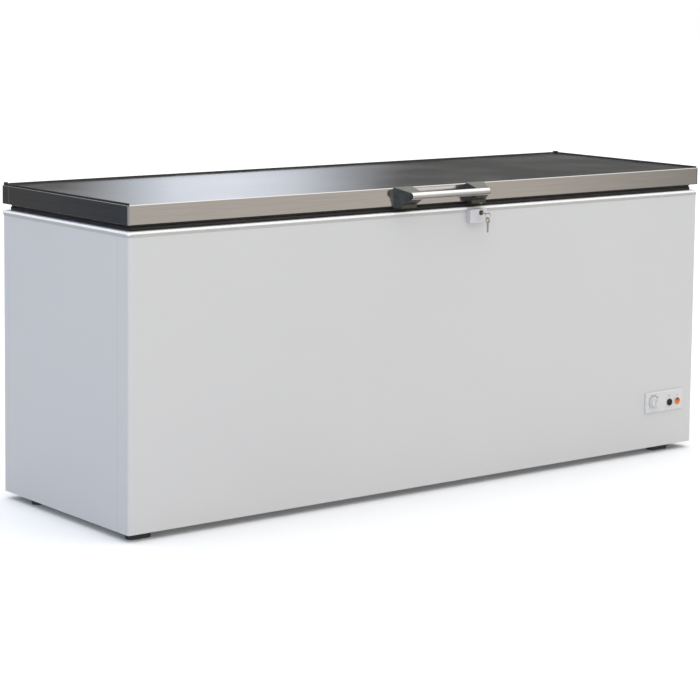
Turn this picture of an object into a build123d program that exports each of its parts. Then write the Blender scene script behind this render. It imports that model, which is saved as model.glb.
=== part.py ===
from build123d import *
import math
import os

# A chest freezer with a stainless lid. Millimetres, +X to its right as seen by someone
# standing in front of it, +Y to its back, +Z up. The origin is on the floor, under the
# middle of the whole object, handle and hinges included.

# ---------------------------------------------------------------- driving dimensions
LENGTH = 2070.0            # cabinet, side to side
DEPTH = 636.0              # cabinet, front to back
FOOT_HEIGHT = 20.0
COLLAR_TOP = 805.0         # top of the white rim that the lid closes on
COLLAR_HEIGHT = 8.0
COLLAR_PROUD = 2.0
WALL = 70.0                # whole thickness of an insulated wall
FLOOR_THICKNESS = 71.5
SHEET = 1.0                # painted steel casing
BASE_SHEET = 1.5
LINER_SHEET = 1.0
SEAM = 0.6                 # gap between two casing panels
CORNER_RADIUS = 6.0

GASKET_HEIGHT = 18.0
LID_HEIGHT = 51.0
LID_OVERHANG = 2.0
HANDLE_REACH = 60.0        # front of the handle bar, ahead of the cabinet
PIN_BEHIND = 14.0          # hinge pin, behind the cabinet
KNUCKLE_RADIUS = 8.0
RUNNING_FIT = 0.05         # radial clearance of a shaft that turns
LOOSE_FIT = 0.3            # clearance between pieces that only pass each other
CUT = 1.0                  # how far a cutting shape runs past the face that it cuts
SCREW_RADIUS, SCREW_LENGTH = 2.0, 9.0
SCREW_HEAD_RADIUS, SCREW_HEAD_HEIGHT = 4.2, 2.2
SCREW_ROOM = 12.0          # depth of the hole for a screw behind the sheet

# ---------------------------------------------------------------- worked out
HINGE_REACH = PIN_BEHIND + KNUCKLE_RADIUS
FRONT = (HANDLE_REACH - DEPTH - HINGE_REACH) / 2
BACK = FRONT + DEPTH
LEFT, RIGHT = -LENGTH / 2, LENGTH / 2
BASE_TOP = FOOT_HEIGHT + BASE_SHEET
CASING_TOP = COLLAR_TOP - COLLAR_HEIGHT
LID_BOTTOM = COLLAR_TOP + GASKET_HEIGHT
LID_TOP = LID_BOTTOM + LID_HEIGHT
PIN_Y, PIN_Z = BACK + PIN_BEHIND, COLLAR_TOP + 7.0

# inside of the casing sheets, and outside of the liner
FOAM_LEFT, FOAM_RIGHT = LEFT + SHEET, RIGHT - SHEET
FOAM_FRONT, FOAM_BACK = FRONT + SHEET, BACK - SHEET
TUB_LEFT, TUB_RIGHT = LEFT + WALL + SHEET, RIGHT - WALL - SHEET
TUB_FRONT, TUB_BACK = FRONT + WALL, BACK - WALL
TUB_FLOOR = FOOT_HEIGHT + FLOOR_THICKNESS
TUB_RADIUS = 20.0          # upright corners of the tub
TUB_FLOOR_RADIUS = 18.0    # where its walls meet its floors

# the step over the compressor bay, at the right-hand end
STEP_X = 585.0             # where the deep part of the tub ends
STEP_Z = 345.0
BAY_LEFT = STEP_X + WALL
BAY_TOP = 300.0

# casing seams on the two sides
FRONT_RETURN = 52.0
REAR_RETURN = 26.0


# ---------------------------------------------------------------- small helpers
COIL_BEND = 0.45           # radius of a coil's end bends, as a share of the spacing of its runs


def slab(x0, x1, y0, y1, z0, z1):
    """A box between two corners."""
    middle = Pos((x0 + x1) / 2, (y0 + y1) / 2, (z0 + z1) / 2)
    return middle * Box(x1 - x0, y1 - y0, z1 - z0)


def rod_x(radius, x0, x1, y, z):
    """A cylinder along X."""
    return Pos((x0 + x1) / 2, y, z) * Rot(0, 90, 0) * Cylinder(radius, x1 - x0)


def rod_y(radius, y0, y1, x, z):
    """A cylinder along Y."""
    return Pos(x, (y0 + y1) / 2, z) * Rot(90, 0, 0) * Cylinder(radius, y1 - y0)


def rod_z(radius, z0, z1, x, y):
    """A cylinder along Z."""
    return Pos(x, y, (z0 + z1) / 2) * Cylinder(radius, z1 - z0)


def plan_prism(points, z0, z1):
    """A polygon in plan, drawn up from z0 to z1."""
    face = make_face(Polyline(*points, close=True))
    return Pos(0, 0, z0) * extrude(face, z1 - z0)


def side_prism(points, x0, x1):
    """A polygon of (y, z) points, drawn from x0 to x1."""
    face = make_face(Plane.YZ * Polyline(*points, close=True))
    return Pos(x0, 0, 0) * extrude(face, x1 - x0, dir=(1, 0, 0))


def mitred_frame(x0, x1, y0, y1, width, z0, z1):
    """Four strips that meet at 45 degrees and make a rectangular ring."""
    outer = [(x0, y0), (x1, y0), (x1, y1), (x0, y1)]
    inner = [(x0 + width, y0 + width), (x1 - width, y0 + width),
             (x1 - width, y1 - width), (x0 + width, y1 - width)]
    strips = []
    for i in range(4):
        j = (i + 1) % 4
        strips.append(plan_prism([outer[i], outer[j], inner[j], inner[i]], z0, z1))
    return strips


def serpentine(tube_radius, x0, x1, y, z0, spacing, runs):
    """A tube that runs to and fro in an upright plane, with round ends."""
    points = []
    for i in range(runs):
        ends = [(x0, y, z0 + i * spacing), (x1, y, z0 + i * spacing)]
        points += ends if i % 2 == 0 else ends[::-1]
    path = FilletPolyline(*points, radius=spacing * COIL_BEND)
    start = Plane(origin=points[0], z_dir=(1, 0, 0))
    return sweep(start * Circle(tube_radius), path=path)


def screw(x, y, z, outward):
    """A pan-head screw in a surface whose normal points along Y, outward being -1 or 1."""
    head, shank = SCREW_HEAD_HEIGHT * outward, -SCREW_LENGTH * outward
    cap = rod_y(SCREW_HEAD_RADIUS, min(y, y + head), max(y, y + head), x, z)
    stem = rod_y(SCREW_RADIUS, min(y, y + shank), max(y, y + shank), x, z)
    return cap + stem


# ---------------------------------------------------------------- cabinet casing
PANEL_HOLE = (RIGHT - 195.0, RIGHT - 53.0, 136.0, 182.0)      # x0, x1, z0, z1 behind the bezel
REAR_HOLE = (BAY_LEFT + 25.0, RIGHT - 45.0, 45.0, 280.0)      # behind the rear cover
SLOT_HEIGHT, SLOT_PITCH = 6.0, 16.0
SIDE_LOUVRES = (60.0, 270.0)                                  # z0, z1
SIDE_BANK, SIDE_BANK_GAP = 150.0, 25.0


def louvre_rows(z0, z1):
    """The heights of a stack of ventilation slots."""
    count = int((z1 - z0) // SLOT_PITCH)
    return [z0 + SLOT_PITCH * (i + 0.5) for i in range(count)]


def casing_ring():
    """The outside walls as one thin ring, before they are parted at the seams."""
    outer = RectangleRounded(LENGTH, DEPTH, CORNER_RADIUS)
    inner = RectangleRounded(LENGTH - 2 * SHEET, DEPTH - 2 * SHEET, CORNER_RADIUS - SHEET)
    ring = extrude(outer - inner, CASING_TOP - FOOT_HEIGHT)
    return Pos(0, (FRONT + BACK) / 2, FOOT_HEIGHT) * ring


def front_panel(ring):
    panel = ring & slab(LEFT, RIGHT, FRONT, FRONT + FRONT_RETURN, 0, CASING_TOP)
    x0, x1, z0, z1 = PANEL_HOLE
    return panel - slab(x0, x1, FRONT - SHEET, FRONT + 2 * SHEET, z0, z1)


def rear_panel(ring):
    panel = ring & slab(LEFT, RIGHT, BACK - REAR_RETURN, BACK, 0, CASING_TOP)
    x0, x1, z0, z1 = REAR_HOLE
    return panel - slab(x0, x1, BACK - 2 * SHEET, BACK + SHEET, z0, z1)


def side_panel(ring, left):
    y0, y1 = FRONT + FRONT_RETURN + SEAM, BACK - REAR_RETURN - SEAM
    x0, x1 = (LEFT, 0) if left else (0, RIGHT)
    panel = ring & slab(x0, x1, y0, y1, 0, CASING_TOP)
    if left:
        return panel
    for z in louvre_rows(*SIDE_LOUVRES):
        for bank in (-1, 0, 1):
            y = bank * (SIDE_BANK + SIDE_BANK_GAP)
            panel -= slab(RIGHT - 2 * SHEET, RIGHT + SHEET, y - SIDE_BANK / 2, y + SIDE_BANK / 2,
                          z - SLOT_HEIGHT / 2, z + SLOT_HEIGHT / 2)
    return panel


def inside_casing(z0, z1):
    """The space inside the casing sheets, with its round corners."""
    outline = RectangleRounded(LENGTH - 2 * SHEET, DEPTH - 2 * SHEET, CORNER_RADIUS - SHEET)
    return Pos(0, (FRONT + BACK) / 2, z0) * extrude(outline, z1 - z0)


def base_pan():
    plate = inside_casing(FOOT_HEIGHT, BASE_TOP)
    return plate - rod_z(DRAIN_RADIUS, FOOT_HEIGHT, BASE_TOP, DRAIN_X, DRAIN_Y)


def rim_collar():
    strips = mitred_frame(LEFT - COLLAR_PROUD, RIGHT + COLLAR_PROUD, FRONT - COLLAR_PROUD,
                          BACK + COLLAR_PROUD, WALL + LINER_SHEET + COLLAR_PROUD,
                          CASING_TOP, COLLAR_TOP)
    rounded = []
    for strip in strips:
        sides = [face for face in strip.faces() if abs(face.normal_at().Z) < 0.5]
        outside = max(sides, key=lambda face: face.area)
        edge = outside.edges().sort_by(Axis.Z)[-1]
        rounded.append(fillet([edge], COLLAR_PROUD))
    return rounded


def rounded_tub(grow):
    """The space of the tub. grow moves its walls out, by the thickness of the liner."""
    radius, low_radius = TUB_RADIUS - LINER_SHEET + grow, TUB_FLOOR_RADIUS - LINER_SHEET + grow
    x0, x1 = TUB_LEFT + LINER_SHEET - grow, TUB_RIGHT - LINER_SHEET + grow
    y0, y1 = TUB_FRONT + LINER_SHEET - grow, TUB_BACK - LINER_SHEET + grow
    low, step = TUB_FLOOR + LINER_SHEET - grow, STEP_Z + LINER_SHEET - grow
    deep_x = STEP_X - LINER_SHEET + grow

    def part(right, bottom, top):
        block = slab(x0, right, y0, y1, bottom, top)
        block = fillet(block.edges().filter_by(Axis.Z), radius)
        return fillet(block.faces().sort_by(Axis.Z)[0].edges(), low_radius)

    return part(deep_x, low, STEP_Z + WALL) + part(x1, step, CASING_TOP)


def inner_liner():
    tub = rounded_tub(LINER_SHEET) - rounded_tub(0.0)
    return tub - rod_z(DRAIN_RADIUS, TUB_FLOOR - CUT, TUB_FLOOR + LINER_SHEET + CUT,
                       DRAIN_X, DRAIN_Y)


def insulation_foam():
    """Blocks of foam that fill the walls, the floor and the step."""
    floor = slab(FOAM_LEFT, BAY_LEFT, FOAM_FRONT, FOAM_BACK, BASE_TOP, TUB_FLOOR)
    floor -= rod_z(DRAIN_RADIUS, BASE_TOP, TUB_FLOOR, DRAIN_X, DRAIN_Y)
    blocks = [
        floor,
        slab(STEP_X, BAY_LEFT, TUB_FRONT, TUB_BACK, TUB_FLOOR, BAY_TOP),
        slab(STEP_X, FOAM_RIGHT, TUB_FRONT, TUB_BACK, BAY_TOP, STEP_Z),
        slab(FOAM_LEFT, TUB_LEFT, TUB_FRONT, TUB_BACK, TUB_FLOOR, CASING_TOP),
        slab(TUB_RIGHT, FOAM_RIGHT, TUB_FRONT, TUB_BACK, STEP_Z, CASING_TOP),
    ]
    for y0, y1 in ((FOAM_FRONT, TUB_FRONT), (TUB_BACK, FOAM_BACK)):
        blocks.append(slab(FOAM_LEFT, BAY_LEFT, y0, y1, TUB_FLOOR, CASING_TOP))
        blocks.append(slab(BAY_LEFT, FOAM_RIGHT, y0, y1, BAY_TOP, CASING_TOP))
    space = inside_casing(BASE_TOP, CASING_TOP)
    return [block & space for block in blocks]


# ---------------------------------------------------------------- feet
FOOT_LENGTH, FOOT_WIDTH, FOOT_TAPER = 78.0, 40.0, 4.0
FOOT_FROM_LEFT, FOOT_FROM_RIGHT = 56.0, 105.0
FOOT_FROM_FRONT, FOOT_FROM_BACK = 42.0, 119.0
FOOT_PLACES = {
    "foot_front_left": (LEFT + FOOT_FROM_LEFT, FRONT + FOOT_FROM_FRONT),
    "foot_front_right": (RIGHT - FOOT_FROM_RIGHT, FRONT + FOOT_FROM_FRONT),
    "foot_rear_left": (LEFT + FOOT_FROM_LEFT, BACK - FOOT_FROM_BACK),
    "foot_rear_right": (RIGHT - FOOT_FROM_RIGHT, BACK - FOOT_FROM_BACK),
}


def foot(x, y):
    top = SlotOverall(FOOT_LENGTH, FOOT_WIDTH)
    sole = SlotOverall(FOOT_LENGTH - 2 * FOOT_TAPER, FOOT_WIDTH - 2 * FOOT_TAPER)
    return Pos(x, y, 0) * loft([sole, Pos(0, 0, FOOT_HEIGHT) * top])


# ---------------------------------------------------------------- drain
DRAIN_X, DRAIN_Y = LEFT + 260.0, FRONT + 150.0
DRAIN_RADIUS, DRAIN_BORE = 12.0, 8.0
DRAIN_FLANGE, DRAIN_FLANGE_HEIGHT = 20.0, 2.0
DRAIN_END = 12.0                                        # height of the tube's lower end
CAP_WALL, CAP_FLOOR = 4.0, 5.0
STOPPER_DEPTH, STOPPER_FLANGE, STOPPER_FLANGE_HEIGHT = 14.0, 15.0, 3.0
GRIP_RADIUS, GRIP_HOLE, GRIP_THICKNESS, GRIP_RISE = 8.0, 4.5, 4.0, 9.0


def drain_tube():
    inside = TUB_FLOOR + LINER_SHEET
    top = inside + DRAIN_FLANGE_HEIGHT
    tube = rod_z(DRAIN_RADIUS, DRAIN_END, inside, DRAIN_X, DRAIN_Y)
    tube += rod_z(DRAIN_FLANGE, inside, top, DRAIN_X, DRAIN_Y)
    return tube - rod_z(DRAIN_BORE, DRAIN_END - CUT, top + CUT, DRAIN_X, DRAIN_Y)


def drain_cap():
    cup = rod_z(DRAIN_RADIUS + CAP_WALL, DRAIN_END - CAP_FLOOR, FOOT_HEIGHT, DRAIN_X, DRAIN_Y)
    return cup - rod_z(DRAIN_RADIUS, DRAIN_END, FOOT_HEIGHT, DRAIN_X, DRAIN_Y)


def drain_stopper():
    seat = TUB_FLOOR + LINER_SHEET + DRAIN_FLANGE_HEIGHT + LOOSE_FIT
    plug = rod_z(DRAIN_BORE - LOOSE_FIT, seat - STOPPER_DEPTH, seat, DRAIN_X, DRAIN_Y)
    plug += rod_z(STOPPER_FLANGE, seat, seat + STOPPER_FLANGE_HEIGHT, DRAIN_X, DRAIN_Y)
    half = GRIP_THICKNESS / 2
    grip = rod_y(GRIP_RADIUS, DRAIN_Y - half, DRAIN_Y + half, DRAIN_X, seat + GRIP_RISE)
    grip -= rod_y(GRIP_HOLE, DRAIN_Y - half - CUT, DRAIN_Y + half + CUT, DRAIN_X,
                  seat + GRIP_RISE)
    return plug + grip


# ---------------------------------------------------------------- refrigeration
COIL_RADIUS, COIL_LOW = 4.0, STEP_Z + 40.0
CONDENSER_MARGIN, CONDENSER_SPACING, CONDENSER_RUNS = 160.0, 90.0, 5
EVAPORATOR_MARGIN, EVAPORATOR_SPACING, EVAPORATOR_RUNS = 200.0, 75.0, 6
COMPRESSOR_X, COMPRESSOR_Y = 850.0, 150.0
COMPRESSOR_LENGTH, COMPRESSOR_WIDTH, COMPRESSOR_HEIGHT = 214.0, 164.0, 168.0
DOME_RADIUS, SUMP_RADIUS = 45.0, 20.0
WELD_PROUD, WELD_HEIGHT, WELD_LEVEL = 3.0, 4.0, 0.55    # level as a share of the height
MOUNT_HEIGHT, MOUNT_RADIUS, MOUNT_BOLT = 18.0, 13.0, 4.0
MOUNT_SPACING_X, MOUNT_SPACING_Y = 196.0, 150.0
PLATE, PLATE_LENGTH, PLATE_WIDTH, PLATE_CORNER = 3.0, 236.0, 190.0, 14.0
PLATE_TOP = BASE_TOP + MOUNT_HEIGHT + PLATE
BOLT_HEAD_HEIGHT = 5.0
RELAY_LENGTH, RELAY_WIDTH, RELAY_HEIGHT, RELAY_LEVEL = 50.0, 64.0, 62.0, 45.0
RELAY_OVERLAP = 12.0                                    # how far it reaches over the shell
DRIER_X, DRIER_Y, DRIER_Z, DRIER_RADIUS = 710.0, -60.0, 180.0, 11.0
DRIER_LENGTH, DRIER_CONE, DRIER_NECK = 80.0, 20.0, 3.0
PIPE_RADIUS, PIPE_BEND = 4.0, 14.0
SUCTION_X, SUCTION_Y, SUCTION_RISE = COMPRESSOR_X + 20.0, COMPRESSOR_Y - 120.0, 40.0
DISCHARGE_X, DISCHARGE_RISE = COMPRESSOR_X - 30.0, 30.0
LIQUID_RISE, LIQUID_Y = 30.0, DRIER_Y - 60.0


def mount_places():
    return [(COMPRESSOR_X + sx * MOUNT_SPACING_X / 2, COMPRESSOR_Y + sy * MOUNT_SPACING_Y / 2)
            for sx in (-1, 1) for sy in (-1, 1)]


def condenser_coil():
    """The hot coil, against the inside of the front panel."""
    margin, y = CONDENSER_MARGIN, FOAM_FRONT + COIL_RADIUS + LINER_SHEET
    return serpentine(COIL_RADIUS, LEFT + margin, RIGHT - margin, y, COIL_LOW,
                      CONDENSER_SPACING, CONDENSER_RUNS)


def evaporator_coil():
    """The cold coil, against the outside of the liner's back wall."""
    margin, y = EVAPORATOR_MARGIN, TUB_BACK + COIL_RADIUS + LOOSE_FIT
    return serpentine(COIL_RADIUS, LEFT + margin, RIGHT - margin, y, COIL_LOW,
                      EVAPORATOR_SPACING, EVAPORATOR_RUNS)


def compressor():
    half_x, half_y = COMPRESSOR_LENGTH / 2, COMPRESSOR_WIDTH / 2
    shell = extrude(Ellipse(half_x, half_y), COMPRESSOR_HEIGHT)
    shell = fillet(shell.faces().sort_by(Axis.Z)[-1].edges(), DOME_RADIUS)
    shell = fillet(shell.faces().sort_by(Axis.Z)[0].edges(), SUMP_RADIUS)
    weld = extrude(Ellipse(half_x + WELD_PROUD, half_y + WELD_PROUD), WELD_HEIGHT)
    whole = shell + Pos(0, 0, COMPRESSOR_HEIGHT * WELD_LEVEL) * weld
    return Pos(COMPRESSOR_X, COMPRESSOR_Y, PLATE_TOP) * whole


def compressor_base():
    bottom = PLATE_TOP - PLATE
    plate = RectangleRounded(PLATE_LENGTH, PLATE_WIDTH, PLATE_CORNER)
    whole = Pos(COMPRESSOR_X, COMPRESSOR_Y, bottom) * extrude(plate, PLATE)
    for x, y in mount_places():
        whole -= rod_z(MOUNT_BOLT, bottom, PLATE_TOP, x, y)
    return whole


def compressor_mounts():
    mounts = []
    for x, y in mount_places():
        mount = rod_z(MOUNT_RADIUS, BASE_TOP, BASE_TOP + MOUNT_HEIGHT, x, y)
        mount -= rod_z(MOUNT_BOLT, BASE_TOP, BASE_TOP + MOUNT_HEIGHT, x, y)
        mounts.append(mount)
    return mounts


def mount_bolts():
    bolts = []
    for x, y in mount_places():
        shank = rod_z(MOUNT_BOLT, BASE_TOP, PLATE_TOP, x, y)
        bolts.append(shank + rod_z(MOUNT_BOLT * 2, PLATE_TOP, PLATE_TOP + BOLT_HEAD_HEIGHT, x, y))
    return bolts


def relay_cover():
    x1 = COMPRESSOR_X - COMPRESSOR_LENGTH / 2 + RELAY_OVERLAP
    y, z = COMPRESSOR_Y, PLATE_TOP + RELAY_LEVEL
    box = slab(x1 - RELAY_LENGTH, x1, y - RELAY_WIDTH / 2, y + RELAY_WIDTH / 2,
               z, z + RELAY_HEIGHT)
    return box - compressor()


def filter_drier():
    body = Cylinder(DRIER_RADIUS, DRIER_LENGTH)
    reach = (DRIER_LENGTH + DRIER_CONE) / 2
    body += Pos(0, 0, reach) * Cone(DRIER_RADIUS, DRIER_NECK, DRIER_CONE)
    body += Pos(0, 0, -reach) * Cone(DRIER_NECK, DRIER_RADIUS, DRIER_CONE)
    return Pos(DRIER_X, DRIER_Y, DRIER_Z) * body


def pipe(*points):
    """A copper pipe through the points, with a round bend at each."""
    first = Vector(*points[1]) - Vector(*points[0])
    path = FilletPolyline(*points, radius=PIPE_BEND)
    return sweep(Plane(origin=points[0], z_dir=first.normalized()) * Circle(PIPE_RADIUS), path=path)


def refrigerant_pipes():
    top, y = PLATE_TOP + COMPRESSOR_HEIGHT, COMPRESSOR_Y
    over = top + SUCTION_RISE
    suction = pipe((SUCTION_X, y, top), (SUCTION_X, y, over), (SUCTION_X, SUCTION_Y, over),
                   (SUCTION_X, SUCTION_Y, BAY_TOP))
    over = top + DISCHARGE_RISE
    discharge = pipe((DISCHARGE_X, y, top), (DISCHARGE_X, y, over), (DRIER_X, y, over),
                     (DRIER_X, y, BAY_TOP))
    neck = DRIER_Z + DRIER_LENGTH / 2 + DRIER_CONE
    over = neck + LIQUID_RISE
    liquid = pipe((DRIER_X, DRIER_Y, neck), (DRIER_X, DRIER_Y, over), (DRIER_X, LIQUID_Y, over),
                  (DRIER_X, LIQUID_Y, BAY_TOP))
    return [suction, discharge, liquid]


# ---------------------------------------------------------------- rear cover
COVER_SHEET = 1.2
COVER_MARGIN = 12.0
COVER_SCREW_INSET = 6.0
COVER_LOUVRE_BELOW, COVER_LOUVRE_ABOVE = 46.0, 16.0     # plain sheet under and over the slots
COVER_SLOT_NEAR, COVER_SLOT_FAR = 12.0, 132.0           # ends of a slot, from the middle
GLAND_X, GLAND_Z = RIGHT - 90.0, 66.0
GLAND_BORE, GLAND_BODY, GLAND_FLANGE = 4.5, 8.0, 12.0
GLAND_OUT, GLAND_IN = 12.0, 14.0
GLAND_RIM, GLAND_NUT = 4.0, 6.0


def cover_outline():
    x0, x1, z0, z1 = REAR_HOLE
    return x0 - COVER_MARGIN, x1 + COVER_MARGIN, z0 - COVER_MARGIN, z1 + COVER_MARGIN


def rear_cover():
    x0, x1, z0, z1 = cover_outline()
    cover = slab(x0, x1, BACK, BACK + COVER_SHEET, z0, z1)
    near, far = BACK - CUT, BACK + COVER_SHEET + CUT
    middle = (x0 + x1) / 2
    for z in louvre_rows(z0 + COVER_LOUVRE_BELOW, z1 - COVER_LOUVRE_ABOVE):
        for side in (-1, 1):
            ends = sorted((middle + side * COVER_SLOT_NEAR, middle + side * COVER_SLOT_FAR))
            cover -= slab(*ends, near, far, z - SLOT_HEIGHT / 2, z + SLOT_HEIGHT / 2)
    for x, z in cover_screw_places():
        cover -= rod_y(SCREW_RADIUS, near, far, x, z)
    return cover - rod_y(GLAND_BODY, near, far, GLAND_X, GLAND_Z)


def cover_screw_places():
    x0, x1, z0, z1 = cover_outline()
    inset = COVER_SCREW_INSET
    return [(x, z) for x in (x0 + inset, x1 - inset) for z in (z0 + inset, z1 - inset)]


def mains_gland():
    """The strain relief that the mains lead goes in through."""
    inner, outer = BACK - GLAND_IN, BACK + GLAND_OUT
    rim = BACK + COVER_SHEET
    gland = rod_y(GLAND_BODY, inner, outer, GLAND_X, GLAND_Z)
    gland += rod_y(GLAND_FLANGE, rim, rim + GLAND_RIM, GLAND_X, GLAND_Z)
    gland += rod_y(GLAND_FLANGE, BACK - GLAND_NUT, BACK, GLAND_X, GLAND_Z)
    return gland - rod_y(GLAND_BORE, inner - CUT, outer + CUT, GLAND_X, GLAND_Z)


# ---------------------------------------------------------------- control panel
BEZEL = (RIGHT - 205.0, RIGHT - 43.0, 127.0, 191.0)     # x0, x1, z0, z1
BEZEL_DEPTH, BEZEL_CHAMFER = 6.0, 3.0
BEZEL_FACE = FRONT - BEZEL_DEPTH
KNOB_X, KNOB_Z, KNOB_RADIUS, KNOB_HEIGHT = RIGHT - 172.0, 160.0, 17.0, 11.0
SPINDLE_RADIUS = 3.0
BUTTON_X, BUTTON_Z, BUTTON_RADIUS, BUTTON_HEIGHT = RIGHT - 104.0, 154.0, 10.5, 5.0
LAMP_X, LAMP_Z, LAMP_RADIUS, LAMP_HEIGHT = RIGHT - 69.0, 154.0, 11.0, 3.0
RING_WIDTH, RING_HEIGHT = 3.0, 1.5
KNOB_FILLET, BUTTON_FILLET, LAMP_FILLET = 2.0, 1.5, 2.0
KNOB_GRIP_WIDTH, KNOB_GRIP_HEIGHT, KNOB_GRIP_INSET = 6.0, 5.0, 2.0
SPINDLE_LENGTH, STEM_RADIUS, STEM_LENGTH = 10.0, 4.0, 8.0     # lengths inside the bodies
DEVICE_FRONT = FRONT + 8.0          # front of the switch and thermostat bodies
THERMOSTAT_SIZE = (40.0, 34.0, 44.0)
SWITCH_SIZE = (28.0, 26.0, 28.0)
LAMP_BASE_INSET, LAMP_BASE_LENGTH = 3.0, 24.0


def control_bezel():
    x0, x1, z0, z1 = BEZEL
    plate = slab(x0, x1, BEZEL_FACE, FRONT, z0, z1)
    plate = chamfer(plate.faces().sort_by(Axis.Y)[0].edges(), BEZEL_CHAMFER)
    for x, z, radius in ((BUTTON_X, BUTTON_Z, BUTTON_RADIUS), (LAMP_X, LAMP_Z, LAMP_RADIUS)):
        plate += rod_y(radius + RING_WIDTH, BEZEL_FACE - RING_HEIGHT, FRONT, x, z)
    near, far = BEZEL_FACE - RING_HEIGHT - CUT, FRONT + CUT
    plate -= rod_y(BUTTON_RADIUS + LOOSE_FIT, near, far, BUTTON_X, BUTTON_Z)
    plate -= rod_y(LAMP_RADIUS, near, far, LAMP_X, LAMP_Z)
    return plate - rod_y(SPINDLE_RADIUS + 1, near, far, KNOB_X, KNOB_Z)


def thermostat_knob():
    face = BEZEL_FACE - LOOSE_FIT
    top = face - KNOB_HEIGHT
    knob = rod_y(KNOB_RADIUS, top, face, KNOB_X, KNOB_Z)
    knob = fillet(knob.faces().sort_by(Axis.Y)[0].edges(), KNOB_FILLET)
    half_x, half_z = KNOB_GRIP_WIDTH / 2, KNOB_RADIUS - KNOB_GRIP_INSET
    grip = slab(KNOB_X - half_x, KNOB_X + half_x, top - KNOB_GRIP_HEIGHT, top + CUT,
                KNOB_Z - half_z, KNOB_Z + half_z)
    spindle = rod_y(SPINDLE_RADIUS, face, DEVICE_FRONT + SPINDLE_LENGTH, KNOB_X, KNOB_Z)
    return knob + grip + spindle


def device_body(size, x, z, hole_radius, hole_depth):
    """The body of a switch behind the front panel, with a hole for its stem."""
    width, depth, height = size
    body = slab(x - width / 2, x + width / 2, DEVICE_FRONT, DEVICE_FRONT + depth,
                z - height / 2, z + height / 2)
    return body - rod_y(hole_radius, DEVICE_FRONT, DEVICE_FRONT + hole_depth, x, z)


def thermostat_body():
    return device_body(THERMOSTAT_SIZE, KNOB_X, KNOB_Z, SPINDLE_RADIUS + RUNNING_FIT,
                       SPINDLE_LENGTH + CUT)


def fast_freeze_button():
    cap_back = FRONT - CUT
    cap = rod_y(BUTTON_RADIUS, BEZEL_FACE - BUTTON_HEIGHT, cap_back, BUTTON_X, BUTTON_Z)
    cap = fillet(cap.faces().sort_by(Axis.Y)[0].edges(), BUTTON_FILLET)
    return cap + rod_y(STEM_RADIUS, cap_back, DEVICE_FRONT + STEM_LENGTH, BUTTON_X, BUTTON_Z)


def switch_body():
    return device_body(SWITCH_SIZE, BUTTON_X, BUTTON_Z, STEM_RADIUS + LOOSE_FIT, 2 * STEM_LENGTH)


def indicator_lamp():
    lens = rod_y(LAMP_RADIUS, BEZEL_FACE - LAMP_HEIGHT, FRONT, LAMP_X, LAMP_Z)
    lens = fillet(lens.faces().sort_by(Axis.Y)[0].edges(), LAMP_FILLET)
    base_radius = LAMP_RADIUS - LAMP_BASE_INSET
    return lens + rod_y(base_radius, FRONT, FRONT + LAMP_BASE_LENGTH, LAMP_X, LAMP_Z)


# ---------------------------------------------------------------- lock and keys
LOCK_X, LOCK_Z = 138.0, 788.6
HOUSING = (LOCK_X - 40.5, LOCK_X + 23.5, 760.0, 800.0)  # x0, x1, z0, z1
HOUSING_DEPTH, HOUSING_WALL = 16.0, 2.0
HOUSING_CORNER, HOUSING_EDGE = 2.5, 1.5
CYLINDER_RADIUS = 7.0
CYLINDER_FACE = FRONT - HOUSING_DEPTH - 2.0
CAM_FRONT, CAM_BACK = FRONT - 10.0, FRONT - 7.0
CAM_CLEARANCE = 2.0                     # in front of and behind the cam
CAM_ARM_HEIGHT, CAM_ARM_LEAN = 7.0, 6.0
HOOK_INNER, HOOK_OUTER = 32.0, 36.0
HOOK_START, HOOK_END = -30.0, 10.0      # degrees above the -X direction, as it rests
SLOT_RIGHT, SLOT_DEPTH = 12.0, 5.0      # the cam's slot in the top of the housing
STRIKER_RADIUS, STRIKER_REACH = 2.5, 17.0
STRIKER_Z = LOCK_Z + HOOK_INNER - 1.0 - STRIKER_RADIUS
KEY_THICKNESS, BOW_RADIUS, BOW_HOLE = 1.8, 9.0, 4.0
BLADE_WIDTH, SPARE_BLADE = 6.5, 35.0
KEY_IN = 5.5                            # how far the blade goes into the cylinder
KEY_WAY_WIDTH, KEY_WAY_DEPTH = 8.0, 6.0
NOTCHES, NOTCH_PITCH, NOTCH_WIDTH, NOTCH_FROM_TIP = 3, 4.0, 1.8, 5.0
NOTCH_DEPTH, NOTCH_DEEPER = 1.0, 0.25
BOW_Y = CYLINDER_FACE - 20.0
RING_RADIUS, RING_WIRE = 9.5, 0.8
RING_LEAN = math.radians(-50.0)         # from the hole in the key to the ring's centre
RING_DX, RING_DZ = RING_RADIUS * math.cos(RING_LEAN), RING_RADIUS * math.sin(RING_LEAN)


def lock_housing():
    x0, x1, z0, z1 = HOUSING
    shell = slab(x0, x1, FRONT - HOUSING_DEPTH, FRONT, z0, z1)
    shell = fillet(shell.edges().filter_by(Axis.Y), HOUSING_CORNER)
    shell = fillet(shell.faces().sort_by(Axis.Y)[0].edges(), HOUSING_EDGE)
    wall = HOUSING_WALL
    shell -= slab(x0 + wall, x1 - wall, FRONT - HOUSING_DEPTH + wall, FRONT, z0 + wall, z1 - wall)
    shell -= rod_y(CYLINDER_RADIUS + RUNNING_FIT, CYLINDER_FACE, CAM_BACK, LOCK_X, LOCK_Z)
    shell -= slab(LOCK_X - HOOK_OUTER, LOCK_X + SLOT_RIGHT, CAM_FRONT - CAM_CLEARANCE,
                  CAM_BACK + CAM_CLEARANCE, z1 - SLOT_DEPTH, z1 + CUT)
    return shell - slab(x0, x1, FRONT - COLLAR_PROUD, FRONT, CASING_TOP, z1)


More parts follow.
